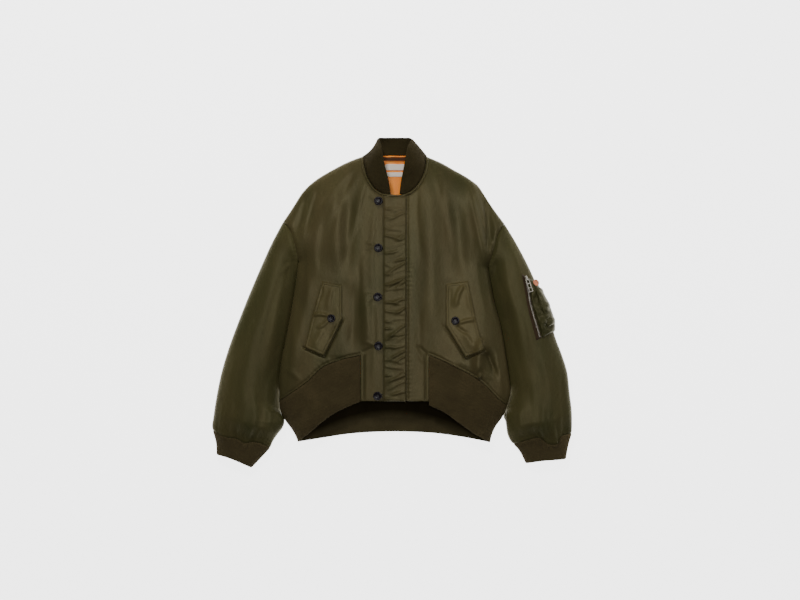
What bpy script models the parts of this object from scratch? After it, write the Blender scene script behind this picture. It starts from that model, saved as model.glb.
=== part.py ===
"""A bomber jacket laid flat on its back, fronts up: +Z up, +Y towards the collar.

The wearer's right is at -X. Tables and sizes are in millimetres, the meshes in metres.
Every panel of the body takes its height from one shape, body_top or body_under, so that
neighbouring panels meet edge to edge, and whatever lies on a panel is that shape moved out.
"""

import math
from collections import namedtuple

import bmesh
import bpy
import numpy as np
from mathutils import Matrix, Vector
from mathutils.geometry import delaunay_2d_cdt

MM = 0.001
SEAM = 0.15  # each panel stops this far short of its seam line, which leaves 0.3 between two
GAP = 0.3
SHELL = 2.5  # quilted nylon shell with its lining
RIB = 3.0  # double rib knit
FLAP = 2.0
THIN = 1.0

FOLD_HEIGHT = 12.0  # the folded side and shoulder edges stand this high
HEM_CORNER_HEIGHT = 8.0
BODY_RISE = 20.0  # the fronts crown this much above their folded edges
SIDE_REACH = 75.0
SHOULDER_REACH = 85.0
CURL = 14.0  # width of the curl of the back up to a folded edge
LAP = 3.4  # the left front lies this much higher, on the right one
FRONT_EDGE_X = -21.5
PLACKET_X = 33.5
UNDERLAP_X = 2.0
HEM_Y = -229.0

TUCK = 14.0  # the sleeves lie this far under the sides of the body
TUCK_HEIGHT = 6.3
SLEEVE_RISE = 24.0
SLEEVE_RINGS = 17
CUFF_RISE = 11.0
CUFF_EDGE = 9.0
GATHERS = 7
GATHER_DEPTH = 2.2

SLIDER = (5.5, 9.0, 2.9)
SLIDER_BASE = 2.1
BAIL_REACH = 2.4  # from the pull's pivot to the middle of each foot of the bail
BAIL_HEIGHT = 3.6
PULL_HEIGHT = 6.2  # the pivot's height over the sleeve
PULL_LENGTH = 35.0
PULL_WIDTH = 10.0
PULL_THICK = 1.3
PULL_BAR = 2.0
PULL_RUNGS = 4
PULL_EYE_WIDTH = 4.8
PULL_EYE_LENGTH = 4.2

BUTTON_RADIUS = 10.0
FLAP_BUTTON_RADIUS = 9.6

Fold = namedtuple("Fold", "x0 y0 x1 y1 width rise")
Station = namedtuple("Station", "seam middle free")

# Outlines as x, y: the neck end of each shoulder first, then down to the hem.
SHOULDER = {
    "right": [(-68, 340), (-100, 331), (-140, 312), (-173, 293), (-197, 274), (-213, 256),
              (-225, 237), (-237, 218), (-256, 190)],
    "left": [(80, 340), (109, 331), (144, 312), (179, 293), (203, 274), (215, 256),
             (227, 237), (240, 218), (264, 186)],
}
ARMHOLE = {
    "right": [(-256, 190), (-242, 176), (-229, 141), (-220, 96)],
    "left": [(264, 186), (251, 166), (238, 126), (226, 82)],
}
SIDE = {
    "right": [(-220, 96), (-228, 37), (-244, -55), (-251, -90), (-262, -146), (-265, -229)],
    "left": [(226, 82), (238, 13), (254, -49), (266, -116), (275, -178), (278, -239)],
}
RIB_SIDE = {
    "right": [(-265, -229), (-256, -252), (-244, -273), (-237, -290), (-228, -308), (-221, -326)],
    "left": [(278, -239), (268, -254), (256, -271), (241, -290), (234, -308), (229, -327)],
}
RIB_SEAM = {
    "right": [(-265, -229), (-230, -206), (-199, -184), (-160, -148), (-122, -133), (-73.5, -121.5)],
    "left": [(278, -239), (254, -229), (219, -193), (196, -175), (150, -150), (117, -134),
             (86, -120.5)],
}
RIB_HEM = {
    "right": [(-73.5, -230), (-131, -256), (-164, -279), (-187, -299), (-221, -326)],
    "left": [(86, -239), (117, -253), (156, -280), (189, -304), (229, -327)],
}
BACK_HEM = [(-221, -326), (-164, -317), (-105, -308), (-48, -303.5), (34, -302.5), (100, -306),
            (166, -315), (229, -327)]
BACK_RIB_SEAM = [(-265, -229), (-200, -214), (-110, -204), (5, -200), (115, -205), (205, -219),
                 (278, -239)]
NECKLINE = {
    "right": [(-68, 340), (-63, 312), (-53.5, 286), (-36, 264), (-21.5, 256)],
    "left": [(80, 340), (79, 320), (67.5, 288.5), (50, 266), (33.5, 256), (7, 253), (-21.5, 256)],
}
BACK_NECK = [(-68, 340), (-50, 344), (5, 345), (60, 344), (80, 340)]

# The outer edge of each sleeve, from the top of the armhole to the cuff.
SLEEVE_OUTER = {
    "right": [(-256, 190), (-281, 143), (-307, 86), (-331, 30), (-361, -45), (-382, -102),
              (-399, -158), (-411, -214), (-420, -271), (-422.5, -290), (-421, -299)],
    "left": [(264, 186), (290, 143), (320, 86), (345, 30), (369, -26), (384, -83), (398, -120),
             (410, -158), (417, -214), (421.5, -252), (422.5, -285), (422, -306)],
}
# Where the body's side hides the sleeve, and below it the sleeve's own inner edge.
SLEEVE_INNER = {
    "right": [(-220.5, 96), (-228.5, 37), (-244.5, -55), (-251.5, -90), (-262.5, -146),
              (-267, -215), (-267.5, -231), (-260, -256), (-257, -280), (-266, -300), (-281, -327),
              (-286, -340)],
    "left": [(226.5, 82), (238.5, 13), (254.5, -49), (266.5, -116), (276, -178), (280, -225),
             (280.5, -241), (273, -257), (268.5, -273), (268.5, -290), (271, -308), (280, -326),
             (285, -331)],
}
CUFF_SEAM = {
    "right": [(-421, -299), (-395, -313), (-364, -318.5), (-342, -329), (-330, -326),
              (-298, -333), (-286, -340)],
    "left": [(422, -306), (396, -313), (388, -329), (366, -330), (346, -316), (316, -322),
             (285, -331)],
}
CUFF_END = {
    "right": [(-412, -355.5), (-386, -360), (-357, -372), (-330, -386.5)],
    "left": [(408, -366), (384, -365.5), (356, -367), (314, -376)],
}
CUFF_OUTER = {
    "right": [(-421, -299), (-413.5, -327), (-412, -355.5)],
    "left": [(422, -306), (415, -330), (408, -366)],
}
CUFF_INNER = {
    "right": [(-286, -340), (-300, -355), (-330, -386.5)],
    "left": [(285, -331), (297, -344), (314, -376)],
}

# Large soft folds of the fronts: a ridge where rise is over 0, a trough where it is under.
FRONT_FOLDS = [
    Fold(-134, 270, -127, 90, 24, 3.5),
    Fold(-172, 275, -205, 170, 15, -3.5),
    Fold(-100, 250, -106, 80, 15, -2.5),
    Fold(-93, 40, -94, -100, 17, -3.5),
    Fold(-60, 20, -54, -105, 14, 2.5),
    Fold(-195, 60, -240, -150, 15, 3.0),
    Fold(88, 285, 100, 40, 26, 4.0),
    Fold(150, 240, 166, 60, 18, -3.0),
    Fold(180, 290, 243, -50, 10, 3.0),
    Fold(205, 265, 232, 120, 11, -4.0),
    Fold(208, -85, 198, -165, 12, 5.0),
    Fold(226, -110, 243, -175, 9, -4.0),
]
# Seen along the sleeve from its armhole, as fractions of its length and of its width.
SleeveFold = namedtuple("SleeveFold", "length0 length1 across0 across1 width rise")
SLEEVE_FOLDS = {
    "right": [
        SleeveFold(0.12, 0.55, 0.52, 0.60, 0.09, -3.0),
        SleeveFold(0.45, 0.92, 0.36, 0.42, 0.10, 2.5),
        SleeveFold(0.55, 0.95, 0.66, 0.72, 0.09, -2.5),
    ],
    "left": [
        SleeveFold(0.10, 0.50, 0.62, 0.66, 0.10, 3.0),
        SleeveFold(0.25, 0.62, 0.80, 0.82, 0.07, -3.0),
        SleeveFold(0.55, 0.92, 0.48, 0.52, 0.10, -3.0),
    ],
}

# The collar runs from one front end round the back of the neck to the other. Each row gives
# x, y, z on its seam, halfway and on its free edge. None takes the height of the fronts.
COLLAR = [
    Station((-21.5, 256.6, None), (-12, 256.8, 33), (-2.5, 257, 33)),
    Station((-35.5, 264.6, None), (-21, 272, 34), (-7, 281, 33.5)),
    Station((-52.8, 286.6, None), (-33, 297, 34), (-13, 308, 33.5)),
    Station((-62, 312, None), (-41, 324, 33), (-19, 334, 32.5)),
    Station((-65.5, 328, None), (-44, 343, 29), (-23.5, 362, 29)),
    Station((-69.5, 342, 15), (-47, 357, 20), (-30, 381, 20)),
    Station((-71.5, 344, 9), (-49, 361, 11.5), (-34.5, 386, 12)),
    Station((-64, 346, 3.6), (-46, 361, 3.6), (-30, 387, 4)),
    Station((-40, 346, 0.2), (-30, 364, 0.2), (-15, 387, 0.2)),
    Station((5, 346, 0.2), (5, 366, 0.2), (5, 387, 0.2)),
    Station((50, 346, 0.2), (42, 364, 0.2), (27, 387, 0.2)),
    Station((75, 346, 3.6), (62, 363, 3.6), (42, 387, 4)),
    Station((83, 344, 9), (66.5, 364, 11.5), (48, 385, 12)),
    Station((81, 342, 15), (64, 359, 20), (43, 380, 20)),
    Station((78.5, 328, None), (57, 344, 29), (35, 362, 29)),
    Station((76.5, 312, None), (54, 324, 33), (30.5, 334, 32.5)),
    Station((66.7, 289, None), (45, 297, 34), (25.5, 308, 33.5)),
    Station((49.6, 266.6, None), (34, 272, 35), (20.5, 281, 34.5)),
    Station((33.5, 256.8, None), (26, 257, 36), (17, 257.2, 35)),
]
COLLAR_POINTS_ACROSS = 5

# Corners of each flap, its top inner corner first, and its button's place.
FLAP_CORNERS = {
    "right": [(-116, 43), (-163.5, 51.5), (-187, -29), (-205, -103.5), (-159, -123.5), (-116, -37)],
    "left": [(125, 45), (178, 52.5), (198, -44), (215.5, -109), (171, -127), (125, -52)],
}
FLAP_BUTTON = {"right": (-141.5, -35.5), "left": (147.5, -41)}
FLAP_LIFT = 2.0

BUTTON_Y = [238.5, 129, 14.5, -99.5, -216.5]
BUTTON_X = [-31.8, -31.8, -33.5, -31.8, -34]

# The sleeve pocket's corners on the left sleeve, as fractions along it and across it from
# its outer edge: upper inner, lower inner, lower outer, upper outer.
POCKET_CORNERS = [(0.235, 0.21), (0.52, 0.33), (0.535, -0.06), (0.33, -0.03)]


def segments(curve):
    return np.linalg.norm(np.diff(curve, axis=0), axis=1)


def resample(curve, marks):
    """Points of a curve at these distances along it."""
    run = np.concatenate([[0], np.cumsum(segments(curve))])
    return np.stack([np.interp(marks, run, curve[:, k]) for k in range(curve.shape[1])], axis=1)


def smooth(points):
    """A smooth curve through the given points, as points about 1 mm apart."""
    p = np.array(points, float)
    t = np.concatenate([[0], np.cumsum(segments(p))])
    slope = np.gradient(p, t, axis=0)
    at = np.linspace(0, t[-1], int(t[-1]) + 2)
    i = np.clip(np.searchsorted(t, at, side="right") - 1, 0, len(t) - 2)
    h = (t[i + 1] - t[i])[:, None]
    u = (at - t[i])[:, None] / h
    return (
        (2 * u**3 - 3 * u**2 + 1) * p[i]
        + (u**3 - 2 * u**2 + u) * h * slope[i]
        + (3 * u**2 - 2 * u**3) * p[i + 1]
        + (u**3 - u**2) * h * slope[i + 1]
    )


def spaced(curve, step, close_start=False, close_end=False):
    """Points about `step` apart, closer together at an end that is a folded edge."""
    total = segments(curve).sum()
    near = [3.0, 9.0, 20.0]
    start = near if close_start else []
    end = [total - d for d in reversed(near)] if close_end else []
    low = start[-1] if start else 0.0
    high = end[0] if end else total
    count = max(1, round((high - low) / step))
    marks = np.linspace(low, high, count + 1)
    marks = np.concatenate([[0.0], start[:-1], marks, end[1:], [total]])
    return resample(curve, np.unique(np.round(marks, 4)))


def at_fraction(curve, fractions):
    return resample(curve, np.asarray(fractions) * segments(curve).sum())


def distance(points, curve):
    """How far each point is from a curve, in plan."""
    p = np.atleast_2d(points)[:, None, :2]
    thin = resample(curve, np.linspace(0, segments(curve).sum(), 60))
    a = thin[None, :-1, :2]
    ab = thin[None, 1:, :2] - a
    along = np.clip(((p - a) * ab).sum(2) / (ab**2).sum(2), 0, 1)
    return np.linalg.norm(p - a - along[..., None] * ab, axis=2).min(1)


def crown(d, reach):
    """0 on a folded edge and 1 from `reach` on, a quarter of an ellipse between."""
    return np.sqrt(1 - (1 - np.clip(d / reach, 0, 1)) ** 2)


def ease(x):
    x = np.clip(x, 0, 1)
    return x * x * (3 - 2 * x)


CURVES = {
    name: {side: smooth(points) for side, points in table.items()}
    for name, table in {
        "shoulder": SHOULDER,
        "armhole": ARMHOLE,
        "side": SIDE,
        "rib_side": RIB_SIDE,
        "rib_seam": RIB_SEAM,
        "rib_hem": RIB_HEM,
        "neckline": NECKLINE,
        "outer": SLEEVE_OUTER,
        "inner": SLEEVE_INNER,
        "cuff_seam": CUFF_SEAM,
        "cuff_end": CUFF_END,
        "cuff_outer": CUFF_OUTER,
        "cuff_inner": CUFF_INNER,
    }.items()
}
BACK_HEM_CURVE = smooth(BACK_HEM)
BACK_RIB_CURVE = smooth(BACK_RIB_SEAM)
BACK_NECK_CURVE = smooth(BACK_NECK)
UPPER_EDGE = {
    side: np.concatenate([CURVES["shoulder"][side], CURVES["outer"][side][1:]])
    for side in ("right", "left")
}
LOWER_EDGE = {
    side: np.concatenate([CURVES["side"][side], CURVES["rib_side"][side][1:]])
    for side in ("right", "left")
}


def fold_relief(points, folds):
    """The height that the soft folds add: each fades out at its ends and to its sides."""
    total = np.zeros(len(points))
    for fold in folds:
        a = np.array([fold.x0, fold.y0])
        ab = np.array([fold.x1, fold.y1]) - a
        u = ((points[:, :2] - a) @ ab) / (ab @ ab)
        off = np.abs((points[:, 0] - a[0]) * ab[1] - (points[:, 1] - a[1]) * ab[0])
        off /= np.linalg.norm(ab)
        fade = ease((u + 0.15) / 0.4) * ease((1.15 - u) / 0.4)
        total += fold.rise * fade * np.exp(-((off / fold.width) ** 2))
    return total


def edge_height(points):
    """Height of the folded edges: lower at the hem's corners."""
    down = ease((-240 - points[:, 1]) / 80)
    return FOLD_HEIGHT - (FOLD_HEIGHT - HEM_CORNER_HEIGHT) * down


def body_top(points):
    """Height of the fronts' outer face over the plan points, without the lap."""
    points = np.atleast_2d(points)
    full = np.ones(len(points))
    for side in ("right", "left"):
        full *= crown(distance(points, UPPER_EDGE[side]), SHOULDER_REACH)
        full *= crown(distance(points, LOWER_EDGE[side]), SIDE_REACH)
    return edge_height(points) + full * (BODY_RISE + fold_relief(points, FRONT_FOLDS))


def left_top(points):
    """The left front lies on the right one, so it starts higher at its edge."""
    points = np.atleast_2d(points)
    return body_top(points) + LAP * ease((95 - points[:, 0]) / 60)


def tucked(points, side):
    """1 where the sleeve lies under the body's side, 0 away from there."""
    top = SIDE[side][0][1]
    y = points[:, 1]
    return ease((top - 6 - y) / 30) * ease((y + 270) / 24)


def body_under(points):
    """Height of the back's outer face, which rests on the ground but for its curled edges."""
    points = np.atleast_2d(points)
    edge = edge_height(points) - GAP
    height = np.zeros(len(points))
    for side in ("right", "left"):
        d_top = distance(points, CURVES["shoulder"][side])
        height = np.maximum(height, edge * (1 - crown(d_top, CURL)))
        d = distance(points, LOWER_EDGE[side])
        plain = edge * (1 - crown(d, CURL))
        raised = TUCK_HEIGHT + 1.0
        over = np.where(
            d < 4,
            raised + (edge - raised) * (1 - crown(d, 4)),
            raised * (1 - ease((d - 20) / 26)),
        )
        share = tucked(points, side)
        height = np.maximum(height, plain + (over - plain) * share)
    return height


def slope_normals(surface, points, up=1.0):
    """Unit normals of a height over plan points, on its upper side or, with up=-1, below."""
    step = 0.8
    dx = (surface(points + [step, 0]) - surface(points - [step, 0])) / (2 * step)
    dy = (surface(points + [0, step]) - surface(points - [0, step])) / (2 * step)
    normal = np.stack([-dx, -dy, np.ones(len(points))], axis=1) * up
    return normal / np.linalg.norm(normal, axis=1)[:, None]


def new_object(name, verts, faces, colour, roughness, metallic=0.0):
    """A closed mesh object in metres, with its faces turned outwards and its own material."""
    mesh = bpy.data.meshes.new(name)
    mesh.from_pydata([Vector(v) * MM for v in np.asarray(verts, float)], [], faces)
    made = bmesh.new()
    made.from_mesh(mesh)
    bmesh.ops.recalc_face_normals(made, faces=made.faces)
    made.to_mesh(mesh)
    made.free()
    mesh.shade_smooth()
    obj = bpy.data.objects.new(name, mesh)
    JACKET.objects.link(obj)
    paint(obj, colour, roughness, metallic)
    return obj


def paint(obj, colour, roughness, metallic=0.0):
    material = bpy.data.materials.new(obj.name)
    material.use_nodes = True
    shader = material.node_tree.nodes["Principled BSDF"]
    shader.inputs["Base Color"].default_value = (*colour, 1.0)
    shader.inputs["Roughness"].default_value = roughness
    shader.inputs["Metallic"].default_value = metallic
    obj.data.materials.clear()
    obj.data.materials.append(material)


NYLON = ((0.062, 0.050, 0.024), 0.5)
KNIT = ((0.028, 0.021, 0.009), 0.9)
LINING = ((0.55, 0.19, 0.055), 0.6)
LABEL = ((0.75, 0.70, 0.62), 0.8)
HORN = ((0.012, 0.010, 0.014), 0.25)
CORD = ((0.012, 0.011, 0.009), 0.8)
METAL = ((0.42, 0.38, 0.30), 0.35, 1.0)


def wall(name, outer, inner, faces, finish):
    """A closed wall between two faces that share one net of faces."""
    count = len(outer)
    edges = {}
    for face in faces:
        for a, b in zip(face, face[1:] + face[:1]):
            edges[(a, b)] = edges.get((a, b), 0) + 1
    rim = [(a, b) for a, b in edges if (b, a) not in edges]
    closed = [tuple(face) for face in faces]
    closed += [tuple(count + k for k in reversed(face)) for face in faces]
    closed += [(b, a, count + a, count + b) for a, b in rim]
    return new_object(name, np.concatenate([outer, inner]), closed, *finish)


def inset(outline, by):
    """A closed outline in plan, moved inwards all round."""
    ahead = np.roll(outline, -1, axis=0) - outline
    ahead /= np.linalg.norm(ahead, axis=1)[:, None]
    back = np.roll(ahead, 1, axis=0)
    after = np.roll(outline, -1, axis=0)
    turn = np.sign(np.sum(outline[:, 0] * after[:, 1] - after[:, 0] * outline[:, 1]))
    n1 = np.stack([-ahead[:, 1], ahead[:, 0]], axis=1) * turn
    n0 = np.stack([-back[:, 1], back[:, 0]], axis=1) * turn
    middle = n0 + n1
    middle /= np.maximum((middle * n1).sum(1), 0.35)[:, None]
    return outline + by * middle


def closed_outline(*pieces):
    """One closed outline from curves end to end, without their doubled points."""
    joined = np.concatenate(pieces)
    keep = [joined[0]]
    for point in joined[1:]:
        if np.linalg.norm(point - keep[-1]) > 0.8:
            keep.append(point)
    if np.linalg.norm(keep[0] - keep[-1]) < 0.8:
        keep.pop()
    return np.array(keep)


def inside(points, outline):
    """Which plan points lie inside the outline."""
    a = outline
    b = np.roll(outline, -1, axis=0)
    x, y = points[:, :1], points[:, 1:2]
    crosses = (a[:, 1] > y) != (b[:, 1] > y)
    rise = np.where(b[:, 1] == a[:, 1], 1e-9, b[:, 1] - a[:, 1])
    left = x < (b[:, 0] - a[:, 0]) * (y - a[:, 1]) / rise + a[:, 0]
    return (crosses & left).sum(1) % 2 == 1


def net(outline, step, folded=()):
    """A net over an outline: an even grid inside, and rows that close up to folded edges."""
    ring = np.concatenate([outline, outline[:1]])
    inner = []
    for curve in folded:
        points = resample(curve, np.arange(6, segments(curve).sum() - 5, step * 0.85))
        tangent = np.gradient(points, axis=0)
        normal = np.stack([-tangent[:, 1], tangent[:, 0]], axis=1)
        normal /= np.linalg.norm(normal, axis=1)[:, None]
        for depth in (3.0, 9.0, 20.0):
            for sign in (1, -1):
                row = points + sign * depth * normal
                good = inside(row, outline) & (distance(row, ring) > min(2.6, depth - 0.2))
                inner.append(row[good])
    low, high = outline.min(0), outline.max(0)
    grid = []
    for k, y in enumerate(np.arange(low[1] + step * 0.5, high[1], step * 0.87)):
        for x in np.arange(low[0] + step * (0.5 if k % 2 else 0.99), high[0], step):
            grid.append((x, y))
    grid = np.array(grid) if grid else np.zeros((0, 2))
    if len(grid):
        good = inside(grid, outline) & (distance(grid, ring) > step * 0.45)
        for curve in folded:
            good &= distance(grid, curve) > 20 + step * 0.5
        inner.append(grid[good])
    points = [Vector(p) for p in outline]
    points += [Vector(p) for row in inner for p in row]
    loop = [list(range(len(outline)))]
    verts, _, faces, _, _, _ = delaunay_2d_cdt(points, [], loop, 1, 1e-4)
    return np.array([tuple(v) for v in verts]), [list(face) for face in faces]


def outward(points, curve, outline_centre):
    """Level unit normals of a folded edge, pointing away from the panel."""
    tangent = np.gradient(curve, axis=0)
    normal = np.stack([-tangent[:, 1], tangent[:, 0]], axis=1)
    normal /= np.linalg.norm(normal, axis=1)[:, None]
    nearest = np.linalg.norm(points[:, None] - curve[None], axis=2).argmin(1)
    n = normal[nearest]
    away = points - outline_centre
    return n * np.sign((n * away).sum(1))[:, None]


def panel(name, outline, surface, thickness, finish, step, folded=(), up=1.0, lift=0.0, seam=SEAM):
    """A wall cut to an outline, its outer face on the surface, moved out by lift."""
    plan, faces = net(inset(outline, seam), step, folded)
    normals = slope_normals(surface, plan, up)
    height = surface(plan)
    for curve in folded:
        on_edge = distance(plan, curve) < 1.0
        if on_edge.any():
            level = outward(plan[on_edge], curve, outline.mean(0))
            normals[on_edge] = np.concatenate([level, np.zeros((len(level), 1))], axis=1)
    face = np.concatenate([plan, height[:, None]], axis=1)
    outer = face + normals * (lift + thickness if lift else 0.0)
    inner = face + normals * lift if lift else face - normals * thickness
    return wall(name, outer, inner, faces, finish)


def make_fronts():
    step = 24
    side = "right"
    underlap = [(FRONT_EDGE_X, 256), (UNDERLAP_X, 253.5), (UNDERLAP_X, HEM_Y)]
    shoulder = CURVES["shoulder"][side]
    right = closed_outline(
        spaced(shoulder, step)[::-1][:-1],
        spaced(CURVES["neckline"][side], step * 0.6, close_start=True),
        underlap,
        [(-40, HEM_Y), (-73.5, HEM_Y)],
        [(-73.5, -180), (-73.5, -150)],
        spaced(CURVES["rib_seam"][side], step, close_start=True)[::-1],
        spaced(CURVES["side"][side], step * 0.8)[::-1],
        spaced(CURVES["armhole"][side], step * 0.7, close_start=True, close_end=True)[::-1],
    )
    folded = [LOWER_EDGE[side], UPPER_EDGE[side]]
    panel("right_front", right, body_top, SHELL, NYLON, step, folded)

    side = "left"
    neckline = CURVES["neckline"][side]
    beside = np.array([p for p in spaced(neckline, 10, close_start=True) if p[0] > PLACKET_X + 2])
    left = closed_outline(
        beside[::-1],
        spaced(CURVES["shoulder"][side], step),
        spaced(CURVES["armhole"][side], step * 0.7, close_start=True, close_end=True),
        spaced(CURVES["side"][side], step * 0.8),
        spaced(CURVES["rib_seam"][side], step, close_start=True),
        [(86, -150), (86, -190), (86, HEM_Y)],
        [(60, HEM_Y)],
        spaced(np.array([(PLACKET_X, HEM_Y), (PLACKET_X, 256)], float), step),
    )
    folded = [LOWER_EDGE[side], UPPER_EDGE[side]]
    panel("left_front", left, left_top, SHELL, NYLON, step, folded)

    over = np.array([p for p in spaced(neckline, 10) if p[0] < PLACKET_X - 2])
    band = closed_outline(
        spaced(np.array([(PLACKET_X, 256), (PLACKET_X, HEM_Y)], float), 20),
        [(6, HEM_Y)],
        spaced(np.array([(FRONT_EDGE_X, HEM_Y), (FRONT_EDGE_X, 256)], float), 20),
        over[::-1],
    )
    panel("front_placket", band, left_top, SHELL, NYLON, 17)


def make_back():
    step = 34
    outline = closed_outline(
        spaced(CURVES["shoulder"]["right"], step * 0.7),
        spaced(CURVES["armhole"]["right"], step * 0.5, close_start=True, close_end=True),
        spaced(CURVES["side"]["right"], step * 0.7),
        spaced(BACK_RIB_CURVE, step, close_start=True, close_end=True),
        spaced(CURVES["side"]["left"], step * 0.7)[::-1],
        spaced(CURVES["armhole"]["left"], step * 0.5, close_start=True, close_end=True)[::-1],
        spaced(CURVES["shoulder"]["left"], step * 0.7)[::-1],
        spaced(BACK_NECK_CURVE, 16, close_start=True, close_end=True)[::-1],
    )
    folded = [edge[side] for edge in (LOWER_EDGE, UPPER_EDGE) for side in ("right", "left")]
    panel("back_panel", outline, body_under, SHELL, NYLON, step, folded, up=-1.0)


def make_hem_ribs():
    step = 24
    for side in ("right", "left"):
        hem = CURVES["rib_hem"][side]
        seam = CURVES["rib_seam"][side]
        front = closed_outline(
            spaced(seam, step, close_start=True),
            spaced(np.array([RIB_SEAM[side][-1], RIB_HEM[side][0]], float), step),
            spaced(hem, step, close_end=True),
            spaced(CURVES["rib_side"][side], step * 0.8)[::-1],
        )
        top = left_top if side == "left" else body_top
        panel(side + "_hem_rib", front, top, RIB, KNIT, step, [LOWER_EDGE[side]], seam=2 * SEAM)
    back = closed_outline(
        spaced(BACK_RIB_CURVE, step, close_start=True, close_end=True),
        spaced(CURVES["rib_side"]["left"], step * 0.8),
        spaced(BACK_HEM_CURVE, step, close_start=True, close_end=True)[::-1],
        spaced(CURVES["rib_side"]["right"], step * 0.8)[::-1],
    )
    folded = [LOWER_EDGE["right"], LOWER_EDGE["left"]]
    panel("back_hem_rib", back, body_under, RIB, KNIT, step, folded, up=-1.0, seam=2 * SEAM)


def make_flaps():
    for side in ("right", "left"):
        corners = np.array(FLAP_CORNERS[side], float)
        outline = []
        for a, b in zip(corners, np.roll(corners, -1, axis=0)):
            outline.append(spaced(np.array([a, b]), 15)[:-1])
        outline = np.concatenate(outline)
        top = left_top if side == "left" else body_top

        def lifted(points, top=top, corners=corners):
            points = np.atleast_2d(points)
            low = ease((corners[0, 1] - points[:, 1] - 60) / 110)
            return top(points) + FLAP_LIFT * low

        panel(side + "_pocket_flap", outline, lifted, FLAP, NYLON, 15, lift=GAP)


def sleeve_line(side, t):
    """The outer and inner ends of the sleeve's section at a fraction of its length."""
    return (
        at_fraction(CURVES["outer"][side], [t])[0],
        at_fraction(CURVES["inner"][side], [t])[0],
    )


def bowed(curve, fractions):
    """How far a curve departs from its chord at these fractions."""
    chord = curve[0] + np.outer(fractions, curve[-1] - curve[0])
    return at_fraction(curve, fractions) - chord


def sleeve_plan(side, t, across):
    """Plan points on the sleeve at a fraction of its length and fractions of its width."""
    outer, inner = sleeve_line(side, t)
    within = np.clip(across, 0, 1)
    plan = outer + np.outer(across, inner - outer)
    plan += bowed(CURVES["armhole"][side], within) * max(0, 1 - t / 0.3) ** 2
    plan += bowed(CURVES["cuff_seam"][side], within) * ease((t - 0.86) / 0.14)
    return plan


def inner_base(side, t):
    """How far the sleeve's inner edge is tucked under the body at this fraction."""
    _, inner = sleeve_line(side, t)
    down = tucked(inner[None], side)[0]
    far = ease((SIDE[side][0][1] - 40 - inner[1]) / 40) * ease((inner[1] + 222) / 40)
    return down, TUCK * far


def sleeve_top(side, t, across):
    """Height of the sleeve's upper face."""
    plan = sleeve_plan(side, t, across)
    down, _ = inner_base(side, t)
    d_out = distance(plan, UPPER_EDGE[side])
    d_in = distance(plan, CURVES["inner"][side])
    outer, inner = sleeve_line(side, t)
    width = np.linalg.norm(inner - outer)
    base = FOLD_HEIGHT + (TUCK_HEIGHT - FOLD_HEIGHT) * down
    blunt = crown(d_in, SIDE_REACH)
    sloped = 1 - (1 - np.clip(d_in / 75, 0, 1)) ** 2.5
    rise_in = blunt + (sloped - blunt) * down
    relief = BODY_RISE + (SLEEVE_RISE - BODY_RISE) * ease(t / 0.2)
    for fold in SLEEVE_FOLDS[side]:
        u = (t - fold.length0) / (fold.length1 - fold.length0)
        centre = fold.across0 + (fold.across1 - fold.across0) * u
        fade = ease((u + 0.2) / 0.5) * ease((1.2 - u) / 0.5)
        relief = relief + fold.rise * fade * np.exp(-(((across - centre) / fold.width) ** 2))
    full = FOLD_HEIGHT + relief * crown(d_out, SHOULDER_REACH)
    height = base + (full - base) * rise_in
    start = edge_fold_relief(plan) * max(0, 1 - t / 0.12)
    height = height + start
    end = cuff_height(across * width, width)
    share = ease((t - 0.90) / 0.10)
    waves = GATHER_DEPTH * np.sin(math.tau * GATHERS * across) * np.sin(math.pi * across)
    return height + (end - height) * share + waves * ease((t - 0.84) / 0.13)


def edge_fold_relief(plan):
    """The fronts' folds where they run out at the armhole."""
    full = np.ones(len(plan))
    for side in ("right", "left"):
        full *= crown(distance(plan, UPPER_EDGE[side]), SHOULDER_REACH)
        full *= crown(distance(plan, LOWER_EDGE[side]), SIDE_REACH)
    return full * fold_relief(plan, FRONT_FOLDS)


def cuff_height(s, width, rise=CUFF_RISE):
    return CUFF_EDGE + rise * crown(s, 36) * crown(width - s, 36)


def ring(side, t):
    """One section of the sleeve: plan distance from its outer end, and height, all round."""
    outer, inner = sleeve_line(side, t)
    width = np.linalg.norm(inner - outer)
    down, tuck = inner_base(side, t)
    across = (1 - np.cos(np.linspace(0, math.pi, 21))) / 2
    top = sleeve_top(side, t, across)
    hem_edge = top[-1]
    free_inner = [(0.0, 0.62), (-3.0, 0.25), (-7.0, 0.04), (-13.0, 0.0)]
    held_inner = [(tuck - 1.5, 0.97), (tuck, 0.5), (tuck - 3.0, 0.0), (-6.0, 0.0)]
    curl_in = []
    for (fs, fz), (hs, hz) in zip(free_inner, held_inner):
        share = tuck / TUCK
        curl_in.append((width + fs + (hs - fs) * share, hem_edge * (fz + (hz - fz) * share)))
    flat = [(width * k, 0.0) for k in (0.78, 0.56, 0.34)]
    curl_out = [(13.0, 0.0), (7.0, 0.04 * top[0]), (3.0, 0.25 * top[0]), (0.6, 0.62 * top[0])]
    s = np.concatenate([across * width, [p[0] for p in curl_in + flat + curl_out]])
    z = np.concatenate([top, [p[1] for p in curl_in + flat + curl_out]])
    return s, z, width


def turned_in(s, z, thickness):
    """A closed section moved in by the wall's thickness."""
    ahead = np.stack([np.roll(s, -1) - s, np.roll(z, -1) - z], axis=1)
    ahead /= np.maximum(np.linalg.norm(ahead, axis=1), 1e-6)[:, None]
    along = ahead + np.roll(ahead, 1, axis=0)
    along /= np.maximum(np.linalg.norm(along, axis=1), 1e-6)[:, None]
    return s + along[:, 1] * thickness, z - along[:, 0] * thickness


def place_ring(side, t, s, z, width):
    plan = sleeve_plan(side, t, s / width)
    return np.concatenate([plan, z[:, None]], axis=1)


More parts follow.
